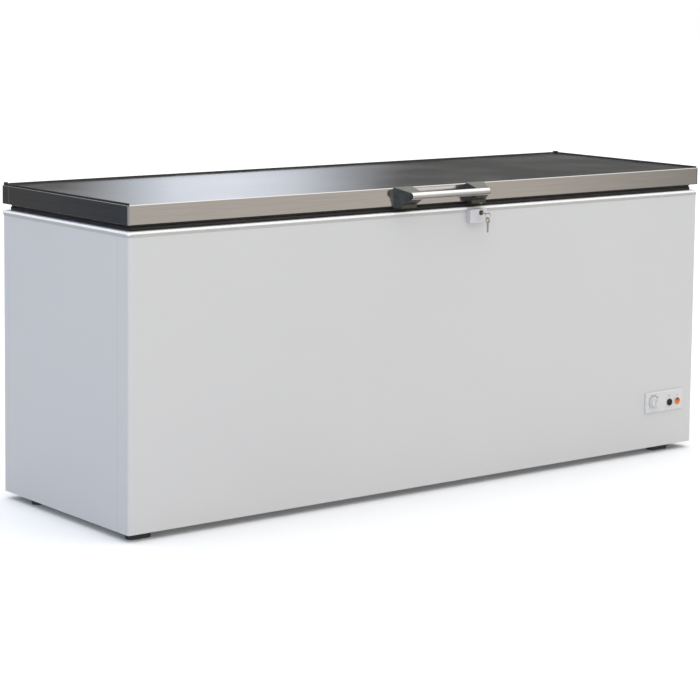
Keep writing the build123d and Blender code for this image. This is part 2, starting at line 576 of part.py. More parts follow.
def lock_cylinder():
    barrel = rod_y(CYLINDER_RADIUS, CYLINDER_FACE, CAM_FRONT, LOCK_X, LOCK_Z)
    half_x, half_z = KEY_WAY_WIDTH / 2, KEY_THICKNESS / 2
    key_way = slab(LOCK_X - half_x, LOCK_X + half_x, CYLINDER_FACE - CUT,
                   CYLINDER_FACE + KEY_WAY_DEPTH, LOCK_Z - half_z, LOCK_Z + half_z)
    return barrel - key_way


def hook_point(radius, degrees):
    a = math.radians(degrees)
    return LOCK_X - radius * math.cos(a), LOCK_Z + radius * math.sin(a)


def lock_cam():
    """A flat plate: an arm from the cylinder, and a round hook at its end."""
    middle = (HOOK_START + HOOK_END) / 2
    hook = Polyline(hook_point(HOOK_INNER, HOOK_START), hook_point(HOOK_OUTER, HOOK_START))
    hook += ThreePointArc(hook_point(HOOK_OUTER, HOOK_START), hook_point(HOOK_OUTER, middle),
                          hook_point(HOOK_OUTER, HOOK_END))
    hook += Polyline(hook_point(HOOK_OUTER, HOOK_END), hook_point(HOOK_INNER, HOOK_END))
    hook += ThreePointArc(hook_point(HOOK_INNER, HOOK_END), hook_point(HOOK_INNER, middle),
                          hook_point(HOOK_INNER, HOOK_START))
    thickness = CAM_BACK - CAM_FRONT
    plate = extrude(make_face(Plane.XZ * hook), thickness, dir=(0, 1, 0))
    arm_length = (HOOK_INNER + HOOK_OUTER) / 2
    arm = Pos(-arm_length / 2, 0, 0) * Box(arm_length, thickness, CAM_ARM_HEIGHT)
    arm = Pos(LOCK_X, thickness / 2, LOCK_Z) * Rot(0, HOOK_START + CAM_ARM_LEAN, 0) * arm
    hub = rod_y(CYLINDER_RADIUS + CUT, 0, thickness, LOCK_X, LOCK_Z)
    return Pos(0, CAM_FRONT, 0) * (plate + arm + hub)


def flat_key(blade):
    """A key in the XY plane: its bow round the origin, its blade along +Y."""
    outline = Circle(BOW_RADIUS) + Pos(0, blade / 2) * Rectangle(BLADE_WIDTH, blade)
    outline -= Circle(BOW_HOLE)
    for i in range(NOTCHES):
        notch = Rectangle(2 * (NOTCH_DEPTH + NOTCH_DEEPER * i), NOTCH_WIDTH)
        outline -= Pos(BLADE_WIDTH / 2, blade - NOTCH_FROM_TIP - i * NOTCH_PITCH) * notch
    return Pos(0, 0, -KEY_THICKNESS / 2) * extrude(outline, KEY_THICKNESS)


def key():
    return Pos(LOCK_X, BOW_Y, LOCK_Z) * flat_key(CYLINDER_FACE + KEY_IN - BOW_Y)


def key_ring():
    ring = Torus(RING_RADIUS, RING_WIRE)
    return Pos(LOCK_X + RING_DX, BOW_Y, LOCK_Z + RING_DZ) * Rot(90, 0, 0) * ring


def spare_key():
    drop = RING_RADIUS + BOW_HOLE - RING_WIRE - LOOSE_FIT
    place = Pos(LOCK_X + RING_DX, BOW_Y, LOCK_Z + RING_DZ - drop)
    return place * Rot(0, 0, 90) * Rot(-90, 0, 0) * flat_key(SPARE_BLADE)


# ---------------------------------------------------------------- hinges
HINGE_PLACES = {"left": -700.0, "middle": 0.0, "right": 700.0}
HINGE_PLATE = 3.0
BASE_HALF, BASE_LOW, BASE_HIGH = 36.0, 738.0, 795.0
EAR_NEAR, EAR_FAR = 25.0, 32.0
ARM_HALF, ARM_LOW, ARM_HIGH = 24.0, 826.0, 868.0
LUG_NEAR, LUG_HEIGHT = 16.0, 26.0
BASE_CORNER, WEB_LOW, WEB_DEPTH = 5.0, 30.0, 6.0
PIN_RADIUS, PIN_HALF, PIN_HEAD = 4.0, 35.0, 6.0
SPRING_HALF, SPRING_INNER, SPRING_WIRE, SPRING_CORE = 14.0, 4.6, 2.8, 0.6
BASE_SCREWS = (13.0, BASE_LOW + 12.0, BASE_HIGH - 14.0)      # either side, low, high
ARM_SCREWS = (11.0, ARM_LOW + 22.0, ARM_HIGH - 8.0)


def screw_pattern(x, pattern):
    """Four screw places round the middle line of a hinge."""
    beside, low, high = pattern
    return [(x + side * beside, z) for side in (-1, 1) for z in (low, high)]


def base_screws(x):
    return screw_pattern(x, BASE_SCREWS)


def arm_screws(x):
    return screw_pattern(x, ARM_SCREWS)


def hinge_base(x):
    base = slab(x - BASE_HALF, x + BASE_HALF, BACK, BACK + HINGE_PLATE, BASE_LOW, BASE_HIGH)
    base = fillet(base.edges().filter_by(Axis.Y), BASE_CORNER)
    low = CASING_TOP - WEB_LOW
    web = [(BACK, low), (BACK + WEB_DEPTH, low), (PIN_Y + KNUCKLE_RADIUS, PIN_Z), (PIN_Y, PIN_Z),
           (BACK + COLLAR_PROUD, COLLAR_TOP), (BACK + COLLAR_PROUD, CASING_TOP),
           (BACK, CASING_TOP)]
    for side in (-1, 1):
        x0, x1 = sorted((x + side * EAR_NEAR, x + side * EAR_FAR))
        base += side_prism(web, x0, x1) + rod_x(KNUCKLE_RADIUS, x0, x1, PIN_Y, PIN_Z)
    base -= rod_x(PIN_RADIUS, x - BASE_HALF, x + BASE_HALF, PIN_Y, PIN_Z)
    for sx, sz in base_screws(x):
        base -= rod_y(SCREW_RADIUS, BACK - CUT, BACK + HINGE_PLATE + CUT, sx, sz)
    return base


def hinge_arm(x):
    face = BACK + LID_OVERHANG
    back = face + HINGE_PLATE
    arm = slab(x - ARM_HALF, x + ARM_HALF, face, back, ARM_LOW, ARM_HIGH)
    lug = [(back, ARM_LOW), (PIN_Y - KNUCKLE_RADIUS, PIN_Z), (PIN_Y + KNUCKLE_RADIUS, PIN_Z),
           (back, ARM_LOW + LUG_HEIGHT)]
    for side in (-1, 1):
        x0, x1 = sorted((x + side * LUG_NEAR, x + side * ARM_HALF))
        arm += side_prism(lug, x0, x1) + rod_x(KNUCKLE_RADIUS, x0, x1, PIN_Y, PIN_Z)
    arm -= rod_x(PIN_RADIUS + RUNNING_FIT, x - ARM_HALF, x + ARM_HALF, PIN_Y, PIN_Z)
    for sx, sz in arm_screws(x):
        arm -= rod_y(SCREW_RADIUS, face - CUT, back + CUT, sx, sz)
    return arm


def hinge_pin(x):
    pin = rod_x(PIN_RADIUS, x - PIN_HALF, x + PIN_HALF, PIN_Y, PIN_Z)
    return pin + rod_x(PIN_HEAD, x + EAR_FAR, x + PIN_HALF, PIN_Y, PIN_Z)


def hinge_spring(x):
    """A close-wound spring, as rings that touch, round the hinge pin."""
    turns = int(2 * SPRING_HALF / SPRING_WIRE)
    sleeve = SPRING_INNER + SPRING_WIRE / 2
    x0, x1 = x - SPRING_HALF, x + SPRING_HALF
    spring = rod_x(sleeve + SPRING_CORE, x0, x1, PIN_Y, PIN_Z)
    spring -= rod_x(sleeve - SPRING_CORE, x0, x1, PIN_Y, PIN_Z)
    for i in range(turns):
        along = x0 + SPRING_WIRE * (i + 0.5)
        spring += Pos(along, PIN_Y, PIN_Z) * Rot(0, 90, 0) * Torus(sleeve, SPRING_WIRE / 2)
    return spring


# ---------------------------------------------------------------- lid
LID_SHEET = 1.0
LID_HEM = 14.0
LID_CORNER, LID_EDGE = 5.0, 2.5
LID_LINER = 2.0
GASKET_INSET, GASKET_WIDTH = 15.0, 30.0
PLUG_INSET, PLUG_DROP = 66.0, 7.0
TRIM_INSET, TRIM_WIDTH = LID_EDGE + 0.5, 3.0
TRIM_RISE, TRIM_LET_IN = 4.5, 0.4                       # above and below the lid's top
TRIM_CAP_LENGTH, TRIM_CAP_RISE = 15.0, 3.0              # where the strip is higher, at the back


def lid_block(inset, z0, z1):
    """A block of the lid's outline, brought in by inset on all four sides."""
    return slab(LEFT - LID_OVERHANG + inset, RIGHT + LID_OVERHANG - inset,
                FRONT - LID_OVERHANG + inset, BACK + LID_OVERHANG - inset, z0, z1)


def lid_space(inset, top):
    """The inside or outside of the lid's skin, with its round corners and top edges."""
    block = lid_block(inset, LID_BOTTOM, top)
    block = fillet(block.edges().filter_by(Axis.Z), LID_CORNER - inset)
    return fillet(block.faces().sort_by(Axis.Z)[-1].edges(), LID_EDGE - inset)


def trim_strip(z0, z1):
    """The outline of the strip that runs along the lid's sides and back."""
    strip = lid_block(TRIM_INSET, z0, z1)
    strip = fillet(strip.edges().filter_by(Axis.Z), LID_CORNER - TRIM_INSET)
    strip -= lid_block(TRIM_INSET + TRIM_WIDTH, z0, z1)
    inside = RIGHT + LID_OVERHANG - TRIM_INSET - TRIM_WIDTH
    edge = FRONT - LID_OVERHANG + TRIM_INSET
    return strip - slab(-inside, inside, edge, edge + TRIM_WIDTH, z0, z1)


def lid_skin():
    hollow = lid_space(LID_SHEET, LID_TOP - LID_SHEET)
    hem = lid_block(0, LID_BOTTOM, LID_BOTTOM + LID_SHEET)
    hem -= lid_block(LID_HEM, LID_BOTTOM, LID_BOTTOM + LID_SHEET)
    skin = lid_space(0, LID_TOP) - (hollow - hem)
    skin -= trim_strip(LID_TOP - TRIM_LET_IN, LID_TOP)
    for x in HINGE_PLACES.values():
        for sx, sz in arm_screws(x):
            skin -= rod_y(SCREW_RADIUS, BACK, BACK + 2 * LID_OVERHANG, sx, sz)
    return skin


def lid_liner():
    plate = lid_block(LID_HEM, LID_BOTTOM, LID_BOTTOM + LID_LINER)
    plate += lid_block(PLUG_INSET, LID_BOTTOM - PLUG_DROP, LID_BOTTOM)
    return plate - lid_block(PLUG_INSET + LID_LINER, LID_BOTTOM - PLUG_DROP + LID_LINER,
                             LID_BOTTOM + LID_LINER)


def lid_foam():
    foam = lid_space(LID_SHEET, LID_TOP - LID_SHEET)
    foam -= lid_block(0, LID_BOTTOM, LID_BOTTOM + LID_LINER)
    foam += lid_block(PLUG_INSET + LID_LINER, LID_BOTTOM - PLUG_DROP + LID_LINER,
                      LID_BOTTOM + LID_LINER)
    for x in HINGE_PLACES.values():
        for sx, sz in arm_screws(x):
            foam -= rod_y(SCREW_RADIUS, BACK - SCREW_ROOM, BACK + LID_OVERHANG, sx, sz)
    return foam


def lid_trim():
    """The strip let in round the lid, higher at the back corners."""
    z1 = LID_TOP + TRIM_RISE
    cap_top = z1 + TRIM_CAP_RISE
    strip = trim_strip(LID_TOP - TRIM_LET_IN, cap_top)
    half, back = RIGHT + LID_OVERHANG, BACK + LID_OVERHANG
    strip -= slab(-half, half, FRONT - CUT, back - TRIM_CAP_LENGTH, z1, cap_top)
    between = half - TRIM_CAP_LENGTH
    return strip - slab(-between, between, FRONT, back, z1, cap_top)


def lid_gasket():
    x0, x1 = LEFT - LID_OVERHANG + GASKET_INSET, RIGHT + LID_OVERHANG - GASKET_INSET
    y0, y1 = FRONT - LID_OVERHANG + GASKET_INSET, BACK + LID_OVERHANG - GASKET_INSET
    return mitred_frame(x0, x1, y0, y1, GASKET_WIDTH, COLLAR_TOP + LOOSE_FIT, LID_BOTTOM)


# ---------------------------------------------------------------- handle
BAR_RADIUS, BAR_AHEAD, BAR_Z = 10.0, 50.0, 853.0
BAR_LEFT, BAR_RIGHT = -151.0, 135.0
BRACKET_TOP, BRACKET_FOOT = 876.0, 818.0
BAR_END_FILLET = 1.5
FOOT_AHEAD, NOTCH_Z = 26.0, BAR_Z - 25.0                # front and top of a bracket's foot
BRACKET_NARROW = 23.0
BRACKETS = {"left": (-173.0, -108.0), "right": (157.0, 92.0)}     # outer and inner edge
POCKET = (LOCK_X - 29.0, LOCK_X + 9.0)                  # the cam's hook turns in it
POCKET_TOP = LOCK_Z + HOOK_OUTER + 2.0


def handle_bar():
    bar = rod_x(BAR_RADIUS, BAR_LEFT, BAR_RIGHT, FRONT - BAR_AHEAD, BAR_Z)
    return fillet(bar.edges().filter_by(GeomType.CIRCLE), BAR_END_FILLET)


def handle_bracket(side):
    outer, inner = BRACKETS[side]
    x0, x1 = sorted((outer, inner))
    turn = -1 if side == "left" else 1
    lid_face, bar_y, foot_y = FRONT - LID_OVERHANG, FRONT - BAR_AHEAD, FRONT - FOOT_AHEAD
    profile = [(lid_face, BRACKET_TOP), (bar_y, BAR_Z + BAR_RADIUS), (bar_y, BAR_Z - BAR_RADIUS),
               (foot_y, NOTCH_Z), (foot_y, BRACKET_FOOT), (lid_face, BRACKET_FOOT)]
    body = side_prism(profile, x0, x1) + rod_x(BAR_RADIUS, x0, x1, bar_y, BAR_Z)
    narrow = outer - turn * BRACKET_NARROW
    plan = [(outer, lid_face), (narrow, bar_y), (narrow, FRONT - HANDLE_REACH),
            (inner, FRONT - HANDLE_REACH), (inner, lid_face)]
    body &= plan_prism(plan, BRACKET_FOOT, BRACKET_TOP)
    body -= rod_x(BAR_RADIUS, BAR_LEFT, BAR_RIGHT, bar_y, BAR_Z)
    if side == "right":
        body -= slab(*POCKET, CAM_FRONT - CAM_CLEARANCE, CAM_BACK + CAM_CLEARANCE,
                     BRACKET_FOOT - CUT, POCKET_TOP)
        body -= lock_striker()
    return body


def lock_striker():
    return rod_y(STRIKER_RADIUS, FRONT - STRIKER_REACH, FRONT - LID_OVERHANG, LOCK_X, STRIKER_Z)


# ---------------------------------------------------------------- baskets
BASKET_LENGTH, BASKET_WIDTH, BASKET_DROP = 420.0, 484.0, 225.0
BASKET_WALL, BASKET_RIM, BASKET_CORNER = 4.0, 6.0, 12.0
HOOK_REACH, HOOK_WIDTH, HOOK_INSET = 22.0, 8.0, 60.0
BASKET_PLACES = {"basket_left": -310.0, "basket_right": 310.0}
BASKET_Y = (TUB_FRONT + TUB_BACK) / 2


def basket(x):
    """The outside shape of a wire basket, with its hooks on the rim of the cabinet."""
    rim_z = COLLAR_TOP + LOOSE_FIT
    half_x, half_y = BASKET_LENGTH / 2, BASKET_WIDTH / 2
    tub = slab(x - half_x, x + half_x, BASKET_Y - half_y, BASKET_Y + half_y,
               rim_z - BASKET_DROP, rim_z + BASKET_RIM)
    tub = fillet(tub.edges().filter_by(Axis.Z), BASKET_CORNER)
    hollow = slab(x - half_x + BASKET_WALL, x + half_x - BASKET_WALL,
                  BASKET_Y - half_y + BASKET_WALL, BASKET_Y + half_y - BASKET_WALL,
                  rim_z - BASKET_DROP + BASKET_WALL, rim_z + BASKET_RIM)
    tub -= fillet(hollow.edges().filter_by(Axis.Z), BASKET_CORNER - BASKET_WALL)
    for side in (-1, 1):
        for place in (x - half_x + HOOK_INSET, x + half_x - HOOK_INSET):
            y0, y1 = sorted((BASKET_Y + side * (half_y - BASKET_WALL),
                             BASKET_Y + side * (half_y + HOOK_REACH)))
            tub += slab(place - HOOK_WIDTH / 2, place + HOOK_WIDTH / 2, y0, y1,
                        rim_z, rim_z + BASKET_RIM)
    return tub


# ---------------------------------------------------------------- screws
def cabinet_screws():
    screws = [screw(x, BACK + COVER_SHEET, z, 1) for x, z in cover_screw_places()]
    for place in HINGE_PLACES.values():
        screws += [screw(x, BACK + HINGE_PLATE, z, 1) for x, z in base_screws(place)]
    return screws


def lid_screws():
    face = BACK + LID_OVERHANG + HINGE_PLATE
    return [screw(x, face, z, 1) for place in HINGE_PLACES.values() for x, z in arm_screws(place)]


# ---------------------------------------------------------------- the whole object
def screw_holes(solids, places):
    """The same solids, with a hole for each screw in the back of the cabinet."""
    for x, z in places:
        hole = rod_y(SCREW_RADIUS, BACK - SCREW_ROOM, BACK + CUT, x, z)
        solids = [solid - hole for solid in solids]
    return solids


def make_nodes():
    ring = casing_ring()
    rear_places = cover_screw_places()
    for place in HINGE_PLACES.values():
        rear_places += base_screws(place)
    nodes = {
        "front_panel": front_panel(ring),
        "left_side_panel": side_panel(ring, True),
        "right_side_panel": side_panel(ring, False),
        "rear_panel": screw_holes([rear_panel(ring)], rear_places)[0],
        "base_pan": base_pan(),
        "rim_collar": rim_collar(),
        "inner_liner": inner_liner(),
        "insulation_foam": screw_holes(insulation_foam(), rear_places),
        "evaporator_coil": evaporator_coil(),
        "condenser_coil": condenser_coil(),
        "drain_tube": drain_tube(),
        "drain_cap": drain_cap(),
        "drain_stopper": drain_stopper(),
        "compressor": compressor(),
        "compressor_base": compressor_base(),
        "compressor_mounts": compressor_mounts(),
        "mount_bolts": mount_bolts(),
        "relay_cover": relay_cover(),
        "filter_drier": filter_drier(),
        "refrigerant_pipes": refrigerant_pipes(),
        "rear_cover": rear_cover(),
        "mains_gland": mains_gland(),
        "control_bezel": control_bezel(),
        "thermostat_knob": thermostat_knob(),
        "thermostat_body": thermostat_body(),
        "fast_freeze_button": fast_freeze_button(),
        "switch_body": switch_body(),
        "indicator_lamp": indicator_lamp(),
        "lock_housing": lock_housing(),
        "lock_cylinder": lock_cylinder(),
        "lock_cam": lock_cam(),
        "lock_striker": lock_striker(),
        "key": key(),
        "key_ring": key_ring(),
        "spare_key": spare_key(),
        "lid_skin": lid_skin(),
        "lid_foam": lid_foam(),
        "lid_liner": lid_liner(),
        "lid_trim": lid_trim(),
        "lid_gasket": lid_gasket(),
        "handle_bar": handle_bar(),
        "hinge_pins": [hinge_pin(x) for x in HINGE_PLACES.values()],
        "hinge_springs": [hinge_spring(x) for x in HINGE_PLACES.values()],
        "cabinet_screws": cabinet_screws(),
        "lid_screws": lid_screws(),
    }
    for name, (x, y) in FOOT_PLACES.items():
        nodes[name] = foot(x, y)
    for side, x in HINGE_PLACES.items():
        nodes[f"hinge_base_{side}"] = hinge_base(x)
        nodes[f"hinge_arm_{side}"] = hinge_arm(x)
    for side in BRACKETS:
        nodes[f"handle_bracket_{side}"] = handle_bracket(side)
    for name, x in BASKET_PLACES.items():
        nodes[name] = basket(x)
    return nodes


def write_steps(nodes):
    """One STEP file for each node, as one solid or as a group of solids."""
    os.makedirs("parts", exist_ok=True)
    for name, shape in nodes.items():
        pieces = shape if isinstance(shape, list) else [shape]
        solids = [solid for piece in pieces for solid in piece.solids()]
        whole = solids[0] if len(solids) == 1 else Compound(children=solids)
        export_step(whole, f"parts/{name}.step")


write_steps(make_nodes())
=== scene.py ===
import math

import bmesh
import bpy
from mathutils import Matrix, Vector


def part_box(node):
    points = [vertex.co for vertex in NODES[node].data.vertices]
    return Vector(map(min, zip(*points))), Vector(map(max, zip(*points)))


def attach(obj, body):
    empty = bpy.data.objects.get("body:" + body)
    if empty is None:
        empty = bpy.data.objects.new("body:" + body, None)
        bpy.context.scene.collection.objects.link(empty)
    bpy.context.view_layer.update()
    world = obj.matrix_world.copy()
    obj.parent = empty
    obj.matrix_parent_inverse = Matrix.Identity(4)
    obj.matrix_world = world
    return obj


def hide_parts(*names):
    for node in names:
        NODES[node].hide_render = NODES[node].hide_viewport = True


# A chest freezer: white painted cabinet, brushed stainless lid, bar handle, key lock and a
# small control panel. Metres, +X to its right, +Y to its back, +Z up, floor at z = 0.

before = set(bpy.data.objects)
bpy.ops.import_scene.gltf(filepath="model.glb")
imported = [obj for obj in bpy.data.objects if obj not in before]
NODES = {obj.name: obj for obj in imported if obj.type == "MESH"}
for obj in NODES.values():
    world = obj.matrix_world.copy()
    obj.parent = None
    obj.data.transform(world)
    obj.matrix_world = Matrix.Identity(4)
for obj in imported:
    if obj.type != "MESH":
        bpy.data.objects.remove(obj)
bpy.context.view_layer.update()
MM = 0.001


# ------------------------------------------------------------------ places, from the frame
def lowest(node):
    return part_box(node)[0]


def highest(node):
    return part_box(node)[1]


def middle(node):
    low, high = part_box(node)
    return (low + high) / 2


LID_LOW, LID_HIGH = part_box("lid_skin")
COLLAR_TOP = highest("rim_collar").z


# ------------------------------------------------------------------ mesh helpers
CORNER_STEPS, BEND_STEPS = 6, 5         # sides of a round corner, and of a bend in a wire
SHARP_ANGLE, BEVEL_ANGLE = 35.0, 40.0   # degrees
SMALLEST_RADIUS = 0.05 * MM
WELD = 0.01 * MM                        # points closer than this are joined


def arc(centre, radius, start, end, steps):
    """Points of an arc in the plane, angles in degrees."""
    points = []
    for i in range(steps + 1):
        a = math.radians(start + (end - start) * i / steps)
        points.append((centre[0] + radius * math.cos(a), centre[1] + radius * math.sin(a)))
    return points


def rounded_rectangle(x0, x1, y0, y1, radius):
    """Points round a rectangle with round corners, anticlockwise."""
    r = max(radius, SMALLEST_RADIUS)
    corners = [((x1 - r, y0 + r), -90), ((x1 - r, y1 - r), 0),
               ((x0 + r, y1 - r), 90), ((x0 + r, y0 + r), 180)]
    points = []
    for centre, start in corners:
        points += arc(centre, r, start, start + 90, CORNER_STEPS)
    return points


def loft(mesh, rings, close_start=False, close_end=False):
    """Joins rings of the same number of points with quads, in a bmesh."""
    rows = [[mesh.verts.new(p) for p in ring] for ring in rings]
    count = len(rows[0])
    for a, b in zip(rows, rows[1:]):
        for i in range(count):
            j = (i + 1) % count
            mesh.faces.new((a[i], a[j], b[j], b[i]))
    if close_start:
        mesh.faces.new(rows[0][::-1])
    if close_end:
        mesh.faces.new(rows[-1])


def flat_ring(outline, z):
    return [Vector((x, y, z)) for x, y in outline]


def stepped_block(mesh, bounds, radius, profile, closed=True):
    """A block with round corners whose edge follows a profile of (inset, height) points."""
    x0, x1, y0, y1 = bounds
    rings = []
    for inset, z in profile:
        outline = rounded_rectangle(x0 + inset, x1 - inset, y0 + inset, y1 - inset,
                                    radius - inset)
        rings.append(flat_ring(outline, z))
    loft(mesh, rings, closed, closed)


def turned(mesh, profile, sides):
    """A turned shape about Z from a profile of (radius, height) points."""
    rings = []
    for radius, z in profile:
        rings.append([Vector((radius * math.cos(2 * math.pi * i / sides),
                              radius * math.sin(2 * math.pi * i / sides), z))
                      for i in range(sides)])
    loft(mesh, rings, True, True)


def tube(mesh, path, radius, sides=10, closed=False):
    """A round tube along a path of points, its section carried along without twisting."""
    points = [Vector(p) for p in path]
    count = len(points)
    rings, normal = [], None
    for i, p in enumerate(points):
        before = points[i - 1] if closed or i else p
        after = points[(i + 1) % count] if closed or i < count - 1 else p
        along = (after - before).normalized()
        if normal is None:
            normal = along.orthogonal().normalized()
        normal = (normal - along * normal.dot(along)).normalized()
        side = along.cross(normal)
        rings.append([p + radius * (math.cos(2 * math.pi * k / sides) * normal
                                    + math.sin(2 * math.pi * k / sides) * side)
                      for k in range(sides)])
    if closed:
        rows = [[mesh.verts.new(q) for q in ring] for ring in rings]
        for a, b in zip(rows, rows[1:] + rows[:1]):
            for k in range(sides):
                m = (k + 1) % sides
                mesh.faces.new((a[k], a[m], b[m], b[k]))
    else:
        loft(mesh, rings, True, True)


def rounded_path(points, radius):
    """The points of a path with each inner corner replaced by a short curve."""
    points = [Vector(p) for p in points]
    made = [points[0]]
    for before, corner, after in zip(points, points[1:], points[2:]):
        a = (before - corner).normalized() * radius
        b = (after - corner).normalized() * radius
        for i in range(BEND_STEPS + 1):
            t = i / BEND_STEPS
            made.append(corner + a * (1 - t) ** 2 + b * t ** 2)
    return made + [points[-1]]


def mark_sharp(mesh):
    """Smooth shading, with the sharper edges kept as edges."""
    limit = math.radians(SHARP_ANGLE)
    for face in mesh.faces:
        face.smooth = True
    for edge in mesh.edges:
        edge.smooth = len(edge.link_faces) == 2 and edge.calc_face_angle(math.pi) < limit


def finished(name, mesh, material, body, replaces=()):
    """Turns a bmesh into a piece that rides on a body."""
    bmesh.ops.recalc_face_normals(mesh, faces=mesh.faces)
    mark_sharp(mesh)
    data = bpy.data.meshes.new(name)
    mesh.to_mesh(data)
    mesh.free()
    piece = bpy.data.objects.new(name, data)
    bpy.context.scene.collection.objects.link(piece)
    data.materials.append(material)
    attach(piece, body)
    if replaces:
        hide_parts(*replaces)
    return piece


def add_bevel(piece, width):
    bevel = piece.modifiers.new("edges", "BEVEL")
    bevel.width = width
    bevel.segments = 2
    bevel.limit_method = "ANGLE"
    bevel.angle_limit = math.radians(BEVEL_ANGLE)
    bevel.harden_normals = True


# ------------------------------------------------------------------ material helpers
class Look:
    """A node material, built step by step from a few procedural layers."""

    def __init__(self, name, **sockets):
        self.material = bpy.data.materials.new(name)
        self.material.use_nodes = True
        self.tree = self.material.node_tree
        self.shader = self.tree.nodes["Principled BSDF"]
        for socket, value in sockets.items():
            self.shader.inputs[socket.replace("_", " ")].default_value = value
        self.place = self.node("ShaderNodeTexCoord").outputs["Object"]
        self.height = None

    def node(self, kind, **inputs):
        made = self.tree.nodes.new(kind)
        for name, value in inputs.items():
            made.inputs[name.replace("_", " ")].default_value = value
        return made

    def link(self, source, target):
        self.tree.links.new(source, target)

    def stretched(self, scale):
        """The object's coordinates, scaled differently along each axis."""
        mapping = self.node("ShaderNodeMapping", Scale=scale)
        self.link(self.place, mapping.inputs["Vector"])
        return mapping.outputs["Vector"]

    def noise(self, scale, detail=3.0, rough=0.5, place=None):
        made = self.node("ShaderNodeTexNoise", Scale=scale, Detail=detail, Roughness=rough)
        self.link(place or self.place, made.inputs["Vector"])
        return made.outputs["Fac"]

    def remap(self, source, low, high, start=0.3, stop=0.7):
        made = self.node("ShaderNodeMapRange", From_Min=start, From_Max=stop,
                         To_Min=low, To_Max=high)
        self.link(source, made.inputs["Value"])
        return made.outputs["Result"]

    def colours(self, source, *stops):
        """A colour ramp over a value. Each stop is (position, colour)."""
        ramp = self.node("ShaderNodeValToRGB")
        elements = ramp.color_ramp.elements
        while len(elements) < len(stops):
            elements.new(0.5)
        for element, (position, colour) in zip(elements, stops):
            element.position = position
            element.color = (*colour, 1.0)
        self.link(source, ramp.inputs["Fac"])
        return ramp.outputs["Color"]

    def colour(self, output):
        self.link(output, self.shader.inputs["Base Color"])

    def roughness(self, output):
        self.link(output, self.shader.inputs["Roughness"])

    def bump(self, height, strength, distance):
        made = self.node("ShaderNodeBump", Strength=strength, Distance=distance)
        self.link(height, made.inputs["Height"])
        if self.height is not None:
            self.link(self.height, made.inputs["Normal"])
        self.height = made.outputs["Normal"]
        self.link(self.height, self.shader.inputs["Normal"])


def paint(name, light, dark):
    """Sprayed enamel on sheet steel: faint orange peel, a soft coat and slow colour drift."""
    look = Look(name, Coat_Weight=0.25, Coat_Roughness=0.12)
    look.colour(look.colours(look.noise(1.3, 2.0), (0.3, dark), (0.7, light)))
    look.roughness(look.remap(look.noise(9.0), 0.29, 0.40))
    look.bump(look.noise(420.0, 2.0), 0.05, 0.3 * MM)
    look.bump(look.noise(2.2, 1.0), 0.10, 2.0 * MM)
    return look.material


def brushed(name, grain, light, dark, rough, spread):
    """Brushed stainless steel. grain is the noise scale along X, Y and Z."""
    look = Look(name, Metallic=1.0)
    place = look.stretched(grain)
    streaks = look.noise(1.0, 4.0, 0.65, place)
    clouds = look.noise(3.5, 3.0)
    look.colour(look.colours(streaks, (0.32, dark), (0.68, light)))
    fine = look.remap(streaks, rough - spread, rough + spread)
    slow = look.remap(clouds, -0.04, 0.05)
    add = look.node("ShaderNodeMath")
    look.link(fine, add.inputs[0])
    look.link(slow, add.inputs[1])
    look.roughness(add.outputs["Value"])
    look.bump(streaks, 0.10, 0.05 * MM)
    look.bump(look.noise(1.6, 1.0), 0.12, 1.5 * MM)
    return look.material


def plastic(name, light, dark, rough=0.35, grain=0.05, spread=0.05, **sockets):
    """Moulded plastic with a fine spark-eroded grain."""
    look = Look(name, **sockets)
    look.colour(look.colours(look.noise(30.0, 2.0), (0.3, dark), (0.7, light)))
    look.roughness(look.remap(look.noise(55.0), rough - spread, rough + spread))
    look.bump(look.noise(450.0, 2.0), grain, 0.05 * MM)
    return look.material


def metal(name, light, dark, rough):
    """Bare or plated metal with fine scratches and patches."""
    look = Look(name, Metallic=1.0)
    patches = look.noise(60.0, 4.0, 0.6)
    look.colour(look.colours(patches, (0.3, dark), (0.7, light)))
    look.roughness(look.remap(look.noise(180.0), rough - 0.06, rough + 0.08))
    look.bump(look.noise(720.0, 3.0), 0.08, 0.08 * MM)
    return look.material


